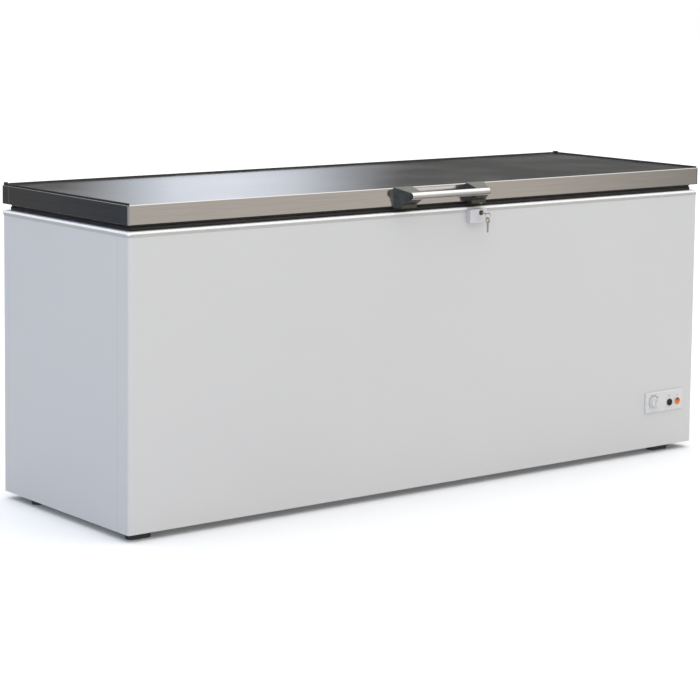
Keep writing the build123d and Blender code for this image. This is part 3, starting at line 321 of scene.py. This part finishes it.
# ------------------------------------------------------------------ materials
def make_materials():
    return {
        "casing": paint("casing_enamel", (0.600, 0.600, 0.600), (0.582, 0.582, 0.587)),
        "steel_x": brushed("stainless_along_x", (4.0, 900.0, 900.0),
                           (0.66, 0.65, 0.64), (0.54, 0.53, 0.52), 0.14, 0.03),
        "steel_y": brushed("stainless_along_y", (900.0, 4.0, 900.0),
                           (0.62, 0.60, 0.56), (0.50, 0.48, 0.45), 0.16, 0.04),
        "bar": brushed("handle_bar_metal", (12.0, 1400.0, 1400.0),
                       (0.80, 0.80, 0.81), (0.64, 0.64, 0.65), 0.30, 0.05),
        "bracket": metal("cast_bracket", (0.155, 0.160, 0.140), (0.105, 0.108, 0.094), 0.40),
        "zinc": metal("zinc_plate", (0.66, 0.67, 0.68), (0.50, 0.51, 0.53), 0.38),
        "bright": metal("bright_steel", (0.78, 0.77, 0.75), (0.62, 0.61, 0.59), 0.20),
        "key": metal("key_metal", (0.60, 0.54, 0.46), (0.42, 0.37, 0.31), 0.30),
        "copper": metal("copper_pipe", (0.85, 0.46, 0.30), (0.62, 0.28, 0.17), 0.30),
        "rim": plastic("rim_plastic", (0.93, 0.93, 0.92), (0.91, 0.91, 0.90), 0.34, 0.008, 0.012),
        # painted shade: the lip's grey stands in for the shadow that falls under the collar
        "lip": plastic("collar_lip_painted_shade", (0.470, 0.465, 0.450), (0.440, 0.436, 0.424), 0.45),
        "lock_white": plastic("lock_plastic", (0.63, 0.62, 0.64), (0.60, 0.59, 0.61), 0.40),
        "barrel": metal("lock_barrel", (0.16, 0.15, 0.14), (0.09, 0.085, 0.08), 0.34),
        "trim": plastic("edge_trim", (0.034, 0.032, 0.030), (0.022, 0.021, 0.020), 0.42),
        "white": plastic("white_plastic", (0.86, 0.86, 0.86), (0.82, 0.82, 0.83), 0.36),
        "panel": plastic("panel_plastic", (0.645, 0.650, 0.640), (0.620, 0.625, 0.615), 0.36),
        "foot": plastic("foot_plastic", (0.044, 0.042, 0.040), (0.026, 0.025, 0.024), 0.50),
        "dial": plastic("dial_plastic", (0.68, 0.68, 0.69), (0.64, 0.64, 0.65), 0.40),
        "print": plastic("dial_print", (0.17, 0.17, 0.18), (0.12, 0.12, 0.13), 0.55),
        "black": plastic("black_plastic", (0.012, 0.012, 0.012), (0.006, 0.006, 0.006), 0.32),
        "rubber": plastic("dark_rubber", (0.085, 0.078, 0.070), (0.055, 0.050, 0.045), 0.62),
        "gasket": plastic("gasket_rubber", (0.030, 0.027, 0.026), (0.017, 0.015, 0.015), 0.42),
        "lid_panel": plastic("lid_panel_plastic", (0.87, 0.88, 0.88), (0.84, 0.85, 0.86), 0.40),
        "foam": foam_look(),
        "liner": embossed_aluminium(),
        "wire": plastic("basket_coating", (0.88, 0.88, 0.87), (0.83, 0.83, 0.83), 0.30, 0.03,
                        Coat_Weight=0.3),
        "compressor": paint("compressor_enamel", (0.016, 0.016, 0.017), (0.010, 0.010, 0.011)),
        "lamp": lamp_look(),
    }


def foam_look():
    look = Look("injected_foam")
    cells = look.noise(160.0, 4.0, 0.7)
    look.colour(look.colours(cells, (0.3, (0.62, 0.50, 0.26)), (0.7, (0.78, 0.67, 0.40))))
    look.roughness(look.remap(cells, 0.85, 0.95))
    look.bump(cells, 0.5, 1.0 * MM)
    return look.material


def embossed_aluminium():
    """Liner sheet with the pebbled pattern that hides dents."""
    look = Look("stucco_aluminium", Metallic=1.0)
    cells = look.node("ShaderNodeTexVoronoi", Scale=150.0)
    look.link(look.place, cells.inputs["Vector"])
    pebbles = cells.outputs["Distance"]
    look.colour(look.colours(look.noise(5.0), (0.3, (0.80, 0.81, 0.83)), (0.7, (0.88, 0.89, 0.90))))
    look.roughness(look.remap(look.noise(40.0), 0.30, 0.42))
    look.bump(pebbles, 0.5, 0.6 * MM)
    return look.material


def lamp_look():
    """The orange lens of the indicator, with painted shade that darkens it towards its top."""
    look = Look("lamp_lens", Roughness=0.12, Coat_Weight=0.6, Coat_Roughness=0.05)
    low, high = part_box("indicator_lamp")
    split = look.node("ShaderNodeSeparateXYZ")
    look.link(look.place, split.inputs["Vector"])
    # painted shade: this ramp over the lens's height darkens its top
    rise = look.remap(split.outputs["Z"], 0.0, 1.0, low.z, high.z)
    look.colour(look.colours(rise, (0.15, (0.80, 0.20, 0.03)), (0.60, (0.62, 0.11, 0.02)),
                             (0.90, (0.12, 0.02, 0.005))))
    look.bump(look.noise(500.0), 0.05, 0.2 * MM)
    return look.material


# ------------------------------------------------------------------ camera and light
CAMERA_PLACE = (-4.162, -5.190, 1.488)
CAMERA_YAW, CAMERA_PITCH, CAMERA_ROLL = 38.13, 6.12, 0.61      # degrees
CAMERA_LENS, SENSOR = 118.23, 36.0                             # millimetres
CAMERA_SHIFT = -0.2


def make_camera():
    data = bpy.data.cameras.new("camera")
    data.lens, data.sensor_width = CAMERA_LENS, SENSOR
    data.shift_y = CAMERA_SHIFT
    data.clip_end = 60.0
    camera = bpy.data.objects.new("camera", data)
    camera.location = CAMERA_PLACE
    yaw = Matrix.Rotation(-math.radians(CAMERA_YAW), 4, "Z")
    pitch = Matrix.Rotation(math.radians(90.0 - CAMERA_PITCH), 4, "X")
    roll = Matrix.Rotation(math.radians(CAMERA_ROLL), 4, "Z")
    camera.rotation_euler = (yaw @ pitch @ roll).to_euler()
    bpy.context.scene.collection.objects.link(camera)
    bpy.context.scene.camera = camera


# What stands round the studio: a dim room, one tall window behind the object, and warm paper
# in front of it. Angles are compass degrees from straight behind, towards the object's right.
ROOM, WINDOW, PAPER = (0.10, 0.10, 0.10), (0.85, 0.90, 1.00), (0.65, 0.60, 0.55)
WINDOW_MIDDLE, WINDOW_HALF, WINDOW_FADE = 35.0, 1.0, 3.0
PAPER_RIGHT, PAPER_LEFT, PAPER_FADE = 125.0, -60.0, 10.0
SURROUNDINGS = [
    (-180.0, PAPER), (PAPER_LEFT - PAPER_FADE, PAPER), (PAPER_LEFT + PAPER_FADE, ROOM),
    (WINDOW_MIDDLE - WINDOW_HALF - WINDOW_FADE, ROOM), (WINDOW_MIDDLE - WINDOW_HALF, WINDOW),
    (WINDOW_MIDDLE + WINDOW_HALF, WINDOW), (WINDOW_MIDDLE + WINDOW_HALF + WINDOW_FADE, ROOM),
    (PAPER_RIGHT - PAPER_FADE, ROOM), (PAPER_RIGHT + PAPER_FADE, PAPER), (180.0, PAPER),
]
CEILING, CEILING_RISE = (1.56, 1.55, 1.50), (0.15, 0.62)         # fades in as a ray climbs
LEFT_TINT, TINT_REACH = (0.55, 0.68, 0.97), (-0.22, -0.88)       # grows towards the left
BACKDROP = (1.0, 1.0, 1.0)
FLOOR_HALF = 30.0


def make_world():
    """A soft studio: a bright ceiling, bluish on the left, and a white backdrop."""
    world = bpy.data.worlds.new("studio")
    bpy.context.scene.world = world
    world.use_nodes = True
    tree = world.node_tree
    shown = tree.nodes["Background"]

    def node(kind, **settings):
        made = tree.nodes.new(kind)
        for name, value in settings.items():
            setattr(made, name, value)
        return made

    def remap(source, start, stop):
        made = node("ShaderNodeMapRange", interpolation_type="SMOOTHSTEP")
        made.inputs["From Min"].default_value = start
        made.inputs["From Max"].default_value = stop
        tree.links.new(source, made.inputs["Value"])
        return made.outputs["Result"]

    def mixed(blend, factor, first, second):
        made = node("ShaderNodeMix", data_type="RGBA", blend_type=blend)
        for socket, value in (("Factor", factor), ("A", first), ("B", second)):
            target = [s for s in made.inputs if s.name == socket and s.enabled][0]
            if isinstance(value, tuple):
                target.default_value = (*value, 1.0)
            else:
                tree.links.new(value, target)
        return [s for s in made.outputs if s.enabled][0]

    ways = node("ShaderNodeSeparateXYZ")
    tree.links.new(node("ShaderNodeTexCoord").outputs["Generated"], ways.inputs["Vector"])
    compass = node("ShaderNodeMath", operation="ARCTAN2")
    tree.links.new(ways.outputs["X"], compass.inputs[0])
    tree.links.new(ways.outputs["Y"], compass.inputs[1])
    turn = node("ShaderNodeMapRange")
    turn.inputs["From Min"].default_value = -math.pi
    turn.inputs["From Max"].default_value = math.pi
    tree.links.new(compass.outputs["Value"], turn.inputs["Value"])
    band = node("ShaderNodeValToRGB")
    stops = band.color_ramp.elements
    while len(stops) < len(SURROUNDINGS):
        stops.new(0.5)
    for stop, (degrees, colour) in zip(stops, SURROUNDINGS):
        stop.position = degrees / 360 + 0.5
        stop.color = (*colour, 1.0)
    tree.links.new(turn.outputs["Result"], band.inputs["Fac"])

    room = mixed("MIX", remap(ways.outputs["Z"], *CEILING_RISE), band.outputs["Color"], CEILING)
    room = mixed("MULTIPLY", remap(ways.outputs["X"], *TINT_REACH), room, LEFT_TINT)
    rays = node("ShaderNodeLightPath")
    seen = mixed("MIX", rays.outputs["Is Camera Ray"], room, BACKDROP)
    tree.links.new(seen, shown.inputs["Color"])
    settings = bpy.context.scene.view_settings
    settings.view_transform = "Standard"
    settings.look = "None"


def make_floor():
    look = Look("floor_paper", Roughness=0.9)
    look.colour(look.colours(look.noise(0.7, 2.0), (0.3, (0.95, 0.95, 0.95)),
                             (0.7, (0.97, 0.97, 0.97))))
    corners = [(-1, -1), (1, -1), (1, 1), (-1, 1)]
    mesh = bmesh.new()
    mesh.faces.new([mesh.verts.new((x * FLOOR_HALF, y * FLOOR_HALF, 0.0)) for x, y in corners])
    data = bpy.data.meshes.new("floor")
    mesh.to_mesh(data)
    mesh.free()
    floor = bpy.data.objects.new("floor", data)
    data.materials.append(look.material)
    bpy.context.scene.collection.objects.link(floor)
    floor.visible_glossy = False


# ------------------------------------------------------------------ finishes on CAD nodes
def dress_nodes(looks):
    """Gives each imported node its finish."""
    finishes = {
        "casing": ["front_panel", "left_side_panel", "right_side_panel", "rear_panel",
                   "rear_cover"],
        "zinc": ["base_pan", "compressor_base"],
        "bright": ["hinge_pins", "hinge_springs", "cabinet_screws", "lid_screws",
                   "mount_bolts", "lock_cam", "lock_striker", "key_ring"],
        "key": ["key", "spare_key"],
        "rim": ["rim_collar"],
        "liner": ["inner_liner"],
        "foam": ["insulation_foam", "lid_foam"],
        "copper": ["evaporator_coil", "condenser_coil", "refrigerant_pipes", "filter_drier"],
        "compressor": ["compressor"],
        "rubber": ["compressor_mounts", "mains_gland", "drain_stopper"],
        "foot": ["foot_front_left", "foot_front_right", "foot_rear_left", "foot_rear_right"],
        "gasket": ["lid_gasket"],
        "lock_white": ["lock_housing"],
        "barrel": ["lock_cylinder"],
        "trim": ["lid_trim"],
        "white": ["drain_tube", "drain_cap"],
        "panel": ["control_bezel"],
        "dial": ["thermostat_knob"],
        "black": ["fast_freeze_button", "switch_body", "thermostat_body", "relay_cover"],
        "lamp": ["indicator_lamp"],
        "lid_panel": ["lid_liner"],
        "steel_x": ["lid_skin"],
        "bar": ["handle_bar"],
        "bracket": ["handle_bracket_left", "handle_bracket_right"],
        "wire": ["basket_left", "basket_right"],
    }
    hinges = [n for n in NODES if n.startswith("hinge_base") or n.startswith("hinge_arm")]
    finishes["zinc"] += hinges
    for look, names in finishes.items():
        for name in names:
            data = NODES[name].data
            data.materials.clear()
            data.materials.append(looks[look])


# ------------------------------------------------------------------ lid
SHEET, HEM = 1.0 * MM, 14.0 * MM
LID_EDGE, LID_FOLD, LID_CORNER = 2.5 * MM, 1.0 * MM, 5.0 * MM
SUPPORT = 1.0 * MM          # a flat strip beside an edge, so that only the edge looks round
TAB_LENGTH, TAB_PROUD, TAB_STEPS = 35.0 * MM, 0.4 * MM, 8
STRIP_WIDTH, STRIP_PROUD = 4.5 * MM, 0.6 * MM
SIDEWAYS, SLANTED = 0.8, 0.15           # how far a face's normal leans out or up
PAN_MARGIN, PAN_STEP, PAN_SUNK, PAN_RIB = 52.0 * MM, 26.0 * MM, 1.2 * MM, 9.0 * MM
PAN_FLANGE, PAN_EDGE, PAN_CORNER = 2.0 * MM, 2.0 * MM, 60.0 * MM
GASKET_WIDTH, GASKET_CORNER = 30.0 * MM, 8.0 * MM
LIP_PROUD, LIP_WIDTH, LIP_TAPER, LIP_CORNER = 0.15 * MM, 2.6 * MM, 2.0 * MM, 8.0 * MM
LIP_TOP, LIP_BEND, LIP_FOOT = 6.2 * MM, 9.0 * MM, 15.0 * MM      # below the collar's top


def lid_sheet(looks):
    """The folded stainless cover: top, four flanges, and the hem that turns in below."""
    low, high = LID_LOW, LID_HIGH
    profile = [(SHEET, high.z - SHEET), (SHEET, low.z + SHEET), (HEM, low.z + SHEET),
               (HEM, low.z), (LID_FOLD + SUPPORT, low.z)]
    profile += arc((LID_FOLD, low.z + LID_FOLD), LID_FOLD, 270, 180, 3)
    profile += [(0.0, low.z + LID_FOLD + SUPPORT), (0.0, high.z - LID_EDGE - SUPPORT)]
    profile += arc((LID_EDGE, high.z - LID_EDGE), LID_EDGE, 180, 90, 5)
    profile += [(LID_EDGE + SUPPORT, high.z)]
    mesh = bmesh.new()
    stepped_block(mesh, (low.x, high.x, low.y, high.y), LID_CORNER, profile)
    bmesh.ops.recalc_face_normals(mesh, faces=mesh.faces)
    for face in mesh.faces:
        out = max(abs(face.normal.x), face.normal.y)
        if abs(face.normal.x) > SIDEWAYS:
            face.material_index = 1
        elif face.normal.z > SLANTED and out > SLANTED:
            face.material_index = 2
    piece = finished("lid_sheet", mesh, looks["steel_x"], "lid", ["lid_skin"])
    piece.data.materials.append(looks["steel_y"])
    piece.data.materials.append(looks["trim"])


def corner_bend(centre, side_x, end_y, radius):
    """Points round a corner of the lid, from its front or back to its side."""
    bend = []
    for i in range(TAB_STEPS + 1):
        a = math.radians(90 * i / TAB_STEPS)
        bend.append((centre[0] + side_x * radius * math.sin(a),
                     centre[1] + end_y * radius * math.cos(a)))
    return bend


def corner_tab(looks, name, side_x, end_y):
    """The front or back flange's end, folded round a corner of the lid and welded down."""
    x = LID_LOW.x if side_x < 0 else LID_HIGH.x
    y = LID_LOW.y if end_y < 0 else LID_HIGH.y
    centre = (x - side_x * LID_CORNER, y - end_y * LID_CORNER)

    def band(radius):
        bend = corner_bend(centre, side_x, end_y, radius)
        start = (centre[0] - side_x * SUPPORT, bend[0][1])
        stop = (bend[-1][0], y - end_y * TAB_LENGTH)
        return [start] + bend + [stop]

    outline = band(LID_CORNER + TAB_PROUD) + band(LID_CORNER - TAB_PROUD)[::-1]
    mesh = bmesh.new()
    z0, z1 = LID_LOW.z + LID_FOLD + SUPPORT, LID_HIGH.z - LID_EDGE
    loft(mesh, [flat_ring(outline, z0), flat_ring(outline, z1)], True, True)
    finished(name, mesh, looks["steel_y"], "lid")


def corner_strip(looks):
    """The black strip's end, which runs down the lid's front right-hand corner."""
    centre = (LID_HIGH.x - LID_CORNER, LID_LOW.y + LID_CORNER)

    def band(radius):
        bend = corner_bend(centre, 1, -1, radius)
        return [(centre[0] + LID_CORNER - STRIP_WIDTH, bend[0][1])] + bend

    outline = band(LID_CORNER + STRIP_PROUD) + band(LID_CORNER - STRIP_PROUD)[::-1]
    mesh = bmesh.new()
    top = LID_HIGH.z - LID_EDGE + SUPPORT
    loft(mesh, [flat_ring(outline, LID_LOW.z), flat_ring(outline, top)], True, True)
    finished("corner_strip", mesh, looks["trim"], "lid")


def lid_pan(looks):
    """The moulded inner skin of the lid, with a step round it and a sunk middle."""
    low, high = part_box("lid_liner")
    top, bottom = high.z - PAN_FLANGE, low.z
    profile = [(0.0, high.z), (0.0, top), (PAN_MARGIN - PAN_EDGE, top)]
    profile += arc((PAN_MARGIN - PAN_EDGE, top - PAN_EDGE), PAN_EDGE, 90, 0, 3)
    profile += arc((PAN_MARGIN + PAN_EDGE, bottom + PAN_EDGE), PAN_EDGE, 180, 270, 4)
    rib = PAN_MARGIN + PAN_STEP
    field = rib + PAN_RIB + PAN_STEP
    profile += [(rib, bottom), (rib + PAN_SUNK, bottom + PAN_SUNK),
                (rib + PAN_RIB, bottom + PAN_SUNK), (rib + PAN_RIB + PAN_SUNK, bottom),
                (field, bottom), (field + PAN_SUNK, bottom + PAN_SUNK)]
    mesh = bmesh.new()
    stepped_block(mesh, (low.x, high.x, low.y, high.y), PAN_CORNER, profile)
    finished("lid_pan", mesh, looks["lid_panel"], "lid", ["lid_liner"])


def bellows_gasket(looks):
    """The magnetic door seal: a thick sealing strip below a soft bellows."""
    low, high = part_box("lid_gasket")
    tall = high.z - low.z
    outer = [(0.0, 1.0), (0.5, 0.86), (3.0, 0.72), (3.4, 0.62), (1.2, 0.52), (0.2, 0.42),
             (0.0, 0.22), (0.6, 0.08), (2.2, 0.0)]
    rings = [(inset * MM, low.z + share * tall) for inset, share in outer]
    rings += [(GASKET_WIDTH - inset, z) for inset, z in rings[::-1]]
    rings.append(rings[0])
    mesh = bmesh.new()
    stepped_block(mesh, (low.x, high.x, low.y, high.y), GASKET_CORNER, rings, closed=False)
    bmesh.ops.remove_doubles(mesh, verts=mesh.verts, dist=WELD)
    finished("bellows_gasket", mesh, looks["gasket"], "lid", ["lid_gasket"])


def collar_lip(looks):
    """The lower lip of the collar, which tapers in to the casing. Its grey is painted shade,
    standing in for the shadow under the collar.
    """
    low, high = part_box("rim_collar")
    top, bend, foot = COLLAR_TOP - LIP_TOP, COLLAR_TOP - LIP_BEND, COLLAR_TOP - LIP_FOOT
    rings = [(0.0, top), (0.0, bend), (LIP_TAPER, foot), (LIP_WIDTH, foot), (LIP_WIDTH, top),
             (0.0, top)]
    mesh = bmesh.new()
    bounds = (low.x - LIP_PROUD, high.x + LIP_PROUD, low.y - LIP_PROUD, high.y + LIP_PROUD)
    stepped_block(mesh, bounds, LIP_CORNER, rings, closed=False)
    bmesh.ops.remove_doubles(mesh, verts=mesh.verts, dist=WELD)
    finished("collar_lip", mesh, looks["lip"], "cabinet")


# ------------------------------------------------------------------ handle
BAR_FILLET, BAR_CAP = 1.5 * MM, 16.0 * MM
BAR_GROOVE, BAR_GROOVE_DEPTH, BAR_SIDES = 0.8 * MM, 0.5 * MM, 64


def handle_tube(looks):
    """The round bar, with a cap let into each end."""
    low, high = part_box("handle_bar")
    radius, half = (high.z - low.z) / 2, (high.x - low.x) / 2
    end = arc((radius - BAR_FILLET, BAR_FILLET - half), BAR_FILLET, 270, 360, 6)
    joint, sunk = BAR_CAP - half, radius - BAR_GROOVE_DEPTH
    end += [(radius, joint - BAR_GROOVE), (sunk, joint - BAR_GROOVE / 2),
            (sunk, joint + BAR_GROOVE / 2), (radius, joint + BAR_GROOVE)]
    profile = end + [(r, -along) for r, along in end[::-1]]
    mesh = bmesh.new()
    turned(mesh, profile, BAR_SIDES)
    for face in mesh.faces:
        if abs(face.calc_center_median().z) > half - BAR_FILLET:
            face.material_index = 1
    place = Matrix.Translation(middle("handle_bar")) @ Matrix.Rotation(math.radians(90), 4, "Y")
    bmesh.ops.transform(mesh, matrix=place, verts=mesh.verts)
    piece = finished("handle_tube", mesh, looks["bar"], "lid", ["handle_bar"])
    piece.data.materials.append(looks["trim"])


# ------------------------------------------------------------------ hinge springs
SPRING_WIRE, SPRING_RADIUS, SPRING_HALF = 1.25 * MM, 5.9 * MM, 12.6 * MM
SPRING_TURNS, TURN_STEPS = 10, 20
SPRING_INSET = 14.0 * MM        # from each end of the springs' row to an outer spring's middle


def coiled_springs(looks):
    """A close-wound spring round each hinge pin."""
    low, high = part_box("hinge_springs")
    y, z = (low.y + high.y) / 2, (low.z + high.z) / 2
    steps = SPRING_TURNS * TURN_STEPS
    mesh = bmesh.new()
    for x in (low.x + SPRING_INSET, middle("hinge_pins").x, high.x - SPRING_INSET):
        path = []
        for i in range(steps + 1):
            turn = 2 * math.pi * i / TURN_STEPS
            along = -SPRING_HALF + 2 * SPRING_HALF * i / steps
            path.append((x + along, y + SPRING_RADIUS * math.cos(turn),
                         z + SPRING_RADIUS * math.sin(turn)))
        tube(mesh, path, SPRING_WIRE, 8)
    finished("coiled_springs", mesh, looks["bright"], "cabinet",
             ["hinge_springs"])


# ------------------------------------------------------------------ baskets
WIRE, RIM_WIRE, HOOK_WIRE = 1.4 * MM, 2.8 * MM, 2.24 * MM
WIRE_PITCH, BEND = 28.0 * MM, 14.0 * MM
BAND_DROPS = (75.0 * MM, 150.0 * MM)            # below the rim
HOOK_REACH, HOOK_INSET, HOOK_HALF = 22.0 * MM, 58.0 * MM, 8.0 * MM
HOOK_TAIL, HOOK_BEND = 40.0 * MM, 5.0 * MM


def evenly(start, stop, pitch):
    count = max(2, round((stop - start) / pitch))
    return [start + (stop - start) * i / count for i in range(count + 1)]


def hook_path(x, y, out, rim):
    """A hook's wire: up inside the basket, out past the rim, along, and back down inside."""
    left, right = x - HOOK_HALF, x + HOOK_HALF
    inside, reach = y - out * 3 * WIRE, y + out * (HOOK_REACH - RIM_WIRE)
    path = [(left, inside, rim - HOOK_TAIL), (left, inside, rim), (left, reach, rim),
            (right, reach, rim), (right, inside, rim), (right, inside, rim - HOOK_TAIL)]
    return rounded_path(path, HOOK_BEND)


def wire_basket(looks, node):
    """A hanging basket of coated wire: hoops both ways, two bands, a rim and four hooks."""
    low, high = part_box(node)
    x0, x1 = low.x + RIM_WIRE, high.x - RIM_WIRE
    y0, y1 = low.y + HOOK_REACH + RIM_WIRE, high.y - HOOK_REACH - RIM_WIRE
    rim, floor = high.z - RIM_WIRE, low.z + 3 * WIRE
    under = floor - 2 * WIRE
    mesh = bmesh.new()
    for y in evenly(y0 + BEND, y1 - BEND, WIRE_PITCH):
        path = [(x0, y, rim), (x0, y, floor), (x1, y, floor), (x1, y, rim)]
        tube(mesh, rounded_path(path, BEND), WIRE, 8)
    for x in evenly(x0 + BEND, x1 - BEND, WIRE_PITCH):
        path = [(x, y0, rim), (x, y0, under), (x, y1, under), (x, y1, rim)]
        tube(mesh, rounded_path(path, BEND), WIRE, 8)
    tube(mesh, flat_ring(rounded_rectangle(x0, x1, y0, y1, BEND), rim), RIM_WIRE, closed=True)
    inset = 2 * WIRE
    band = rounded_rectangle(x0 + inset, x1 - inset, y0 + inset, y1 - inset, BEND)
    for drop in BAND_DROPS:
        tube(mesh, flat_ring(band, rim - drop), WIRE, closed=True)
    for x in (x0 + HOOK_INSET, x1 - HOOK_INSET):
        for y, out in ((y0, -1), (y1, 1)):
            tube(mesh, hook_path(x, y, out, rim), HOOK_WIRE, 8)
    finished(f"wire_{node}", mesh, looks["wire"], node, [node])


# ------------------------------------------------------------------ control panel
PRINT = 0.15 * MM                               # how far a printed mark stands off its face
PANEL_FACE = lowest("control_bezel").y + 1.5 * MM
SCALE_END = 135.0                               # degrees each way from straight up
BAND_INNER, BAND_OUTER = 19.5 * MM, (20.0 * MM, 22.5 * MM)
TICKS, TICK_HALF, TICK_INNER, TICK_OUTER = 8, 1.8, 23.4 * MM, 25.6 * MM
DOT_RISE, DOT_INNER, DOT_OUTER = 20.0 * MM, 0.1 * MM, 1.6 * MM
SECTOR_STEP = 6                                 # degrees
SKIRT_BACK = lowest("control_bezel").y + 1.2 * MM
KNOB_HEIGHT, FLUTES, FLUTE_DEPTH, FLUTE_SIDES = 11.0 * MM, 24, 0.35 * MM, 6
FLUTED_RINGS = (3, 4)                           # the foot and the top of the knob's side
GRIP_HALF_WIDTH, GRIP_HALF_LENGTH, GRIP_CORNER = 2.8 * MM, 13.5 * MM, 2.6 * MM
POINTER_HALF, POINTER_LOW, POINTER_HIGH = 0.6 * MM, 4.0 * MM, 12.0 * MM


def printed_sector(mesh, centre, near, far, start, stop):
    """A thin printed shape between two radii, whose outer one may change from start to stop."""
    steps = max(2, int(abs(stop - start) / SECTOR_STEP))
    inner, outer = [], []
    for i in range(steps + 1):
        a = math.radians(start + (stop - start) * i / steps)
        reach = far[0] + (far[1] - far[0]) * i / steps
        inner.append((near * math.sin(a), near * math.cos(a)))
        outer.append((reach * math.sin(a), reach * math.cos(a)))
    upright_loft(mesh, centre, inner + outer[::-1], (PANEL_FACE + PRINT, PANEL_FACE - PRINT))


def upright_loft(mesh, centre, outline, depths):
    """A closed shape from one outline of (x, z) points round a centre, at two depths."""
    rings = [[Vector((centre.x + x, y, centre.z + z)) for x, z in outline] for y in depths]
    loft(mesh, rings, True, True)


def dial_print(looks):
    """The thermostat's scale: a band that widens clockwise, ticks, and two dots."""
    knob = middle("thermostat_knob")
    mesh = bmesh.new()
    printed_sector(mesh, knob, BAND_INNER, BAND_OUTER, -SCALE_END, SCALE_END)
    for i in range(TICKS):
        angle = -SCALE_END + 2 * SCALE_END * i / (TICKS - 1)
        printed_sector(mesh, knob, TICK_INNER, (TICK_OUTER, TICK_OUTER), angle - TICK_HALF,
                       angle + TICK_HALF)
    for node in ("fast_freeze_button", "indicator_lamp"):
        dot = middle(node) + Vector((0, 0, DOT_RISE))
        printed_sector(mesh, dot, DOT_INNER, (DOT_OUTER, DOT_OUTER), 0, 359)
    finished("dial_print", mesh, looks["print"], "cabinet")


def knob_side(mesh, centre, radius):
    """The knob's skirt, fluted side and top."""
    profile = [(radius, 0.0), (radius, 2.2 * MM), (radius - 0.6 * MM, 2.8 * MM),
               (radius - 1.8 * MM, 3.2 * MM), (radius - 2.4 * MM, KNOB_HEIGHT - 1.5 * MM),
               (radius - 3.6 * MM, KNOB_HEIGHT), (radius - 6.0 * MM, KNOB_HEIGHT)]
    sides = FLUTES * FLUTE_SIDES
    rings = []
    for i, (r, rise) in enumerate(profile):
        depth = FLUTE_DEPTH if i in FLUTED_RINGS else 0.0
        ring = []
        for k in range(sides):
            a = 2 * math.pi * k / sides
            reach = r + depth * math.cos(FLUTES * a)
            ring.append(Vector((centre.x + reach * math.cos(a), SKIRT_BACK - rise,
                                centre.z + reach * math.sin(a))))
        rings.append(ring)
    loft(mesh, rings, True, True)


def knob_grip(mesh, centre, top):
    """The bar across the knob, its front edge drawn in."""
    outline = rounded_rectangle(-GRIP_HALF_WIDTH, GRIP_HALF_WIDTH,
                                -GRIP_HALF_LENGTH, GRIP_HALF_LENGTH, GRIP_CORNER)
    levels = [(0.0, top + 0.5 * MM), (0.0, top - 3.6 * MM), (0.7 * MM, top - 4.6 * MM)]
    rings = []
    for inset, y in levels:
        across, along = 1 - inset / GRIP_HALF_WIDTH, 1 - inset / GRIP_HALF_LENGTH
        rings.append([Vector((centre.x + x * across, y, centre.z + z * along))
                      for x, z in outline])
    loft(mesh, rings, True, True)


def ribbed_knob(looks):
    """The thermostat knob: a skirt, a fluted side and a grip bar with a pointer line."""
    low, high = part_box("thermostat_knob")
    centre, top = middle("thermostat_knob"), SKIRT_BACK - KNOB_HEIGHT
    mesh = bmesh.new()
    knob_side(mesh, centre, (high.x - low.x) / 2)
    knob_grip(mesh, centre, top)
    finished("ribbed_knob", mesh, looks["dial"], "thermostat_knob",
             ["thermostat_knob"])
    mark = bmesh.new()
    outline = [(-POINTER_HALF, POINTER_LOW), (POINTER_HALF, POINTER_LOW),
               (POINTER_HALF, POINTER_HIGH), (-POINTER_HALF, POINTER_HIGH)]
    upright_loft(mark, centre, outline, (top - 4.5 * MM, top - 4.75 * MM))
    finished("knob_pointer", mark, looks["print"], "thermostat_knob")


looks = make_materials()
make_camera()
make_world()
make_floor()
dress_nodes(looks)
lid_sheet(looks)
for end, end_y in (("front", -1), ("back", 1)):
    for side, side_x in (("left", -1), ("right", 1)):
        corner_tab(looks, f"lid_tab_{end}_{side}", side_x, end_y)
corner_strip(looks)
lid_pan(looks)
bellows_gasket(looks)
collar_lip(looks)
handle_tube(looks)
coiled_springs(looks)
for basket in ("basket_left", "basket_right"):
    wire_basket(looks, basket)
dial_print(looks)
ribbed_knob(looks)
for node in ("handle_bracket_left", "handle_bracket_right"):
    add_bevel(NODES[node], 1.2 * MM)
add_bevel(NODES["lid_trim"], 0.8 * MM)
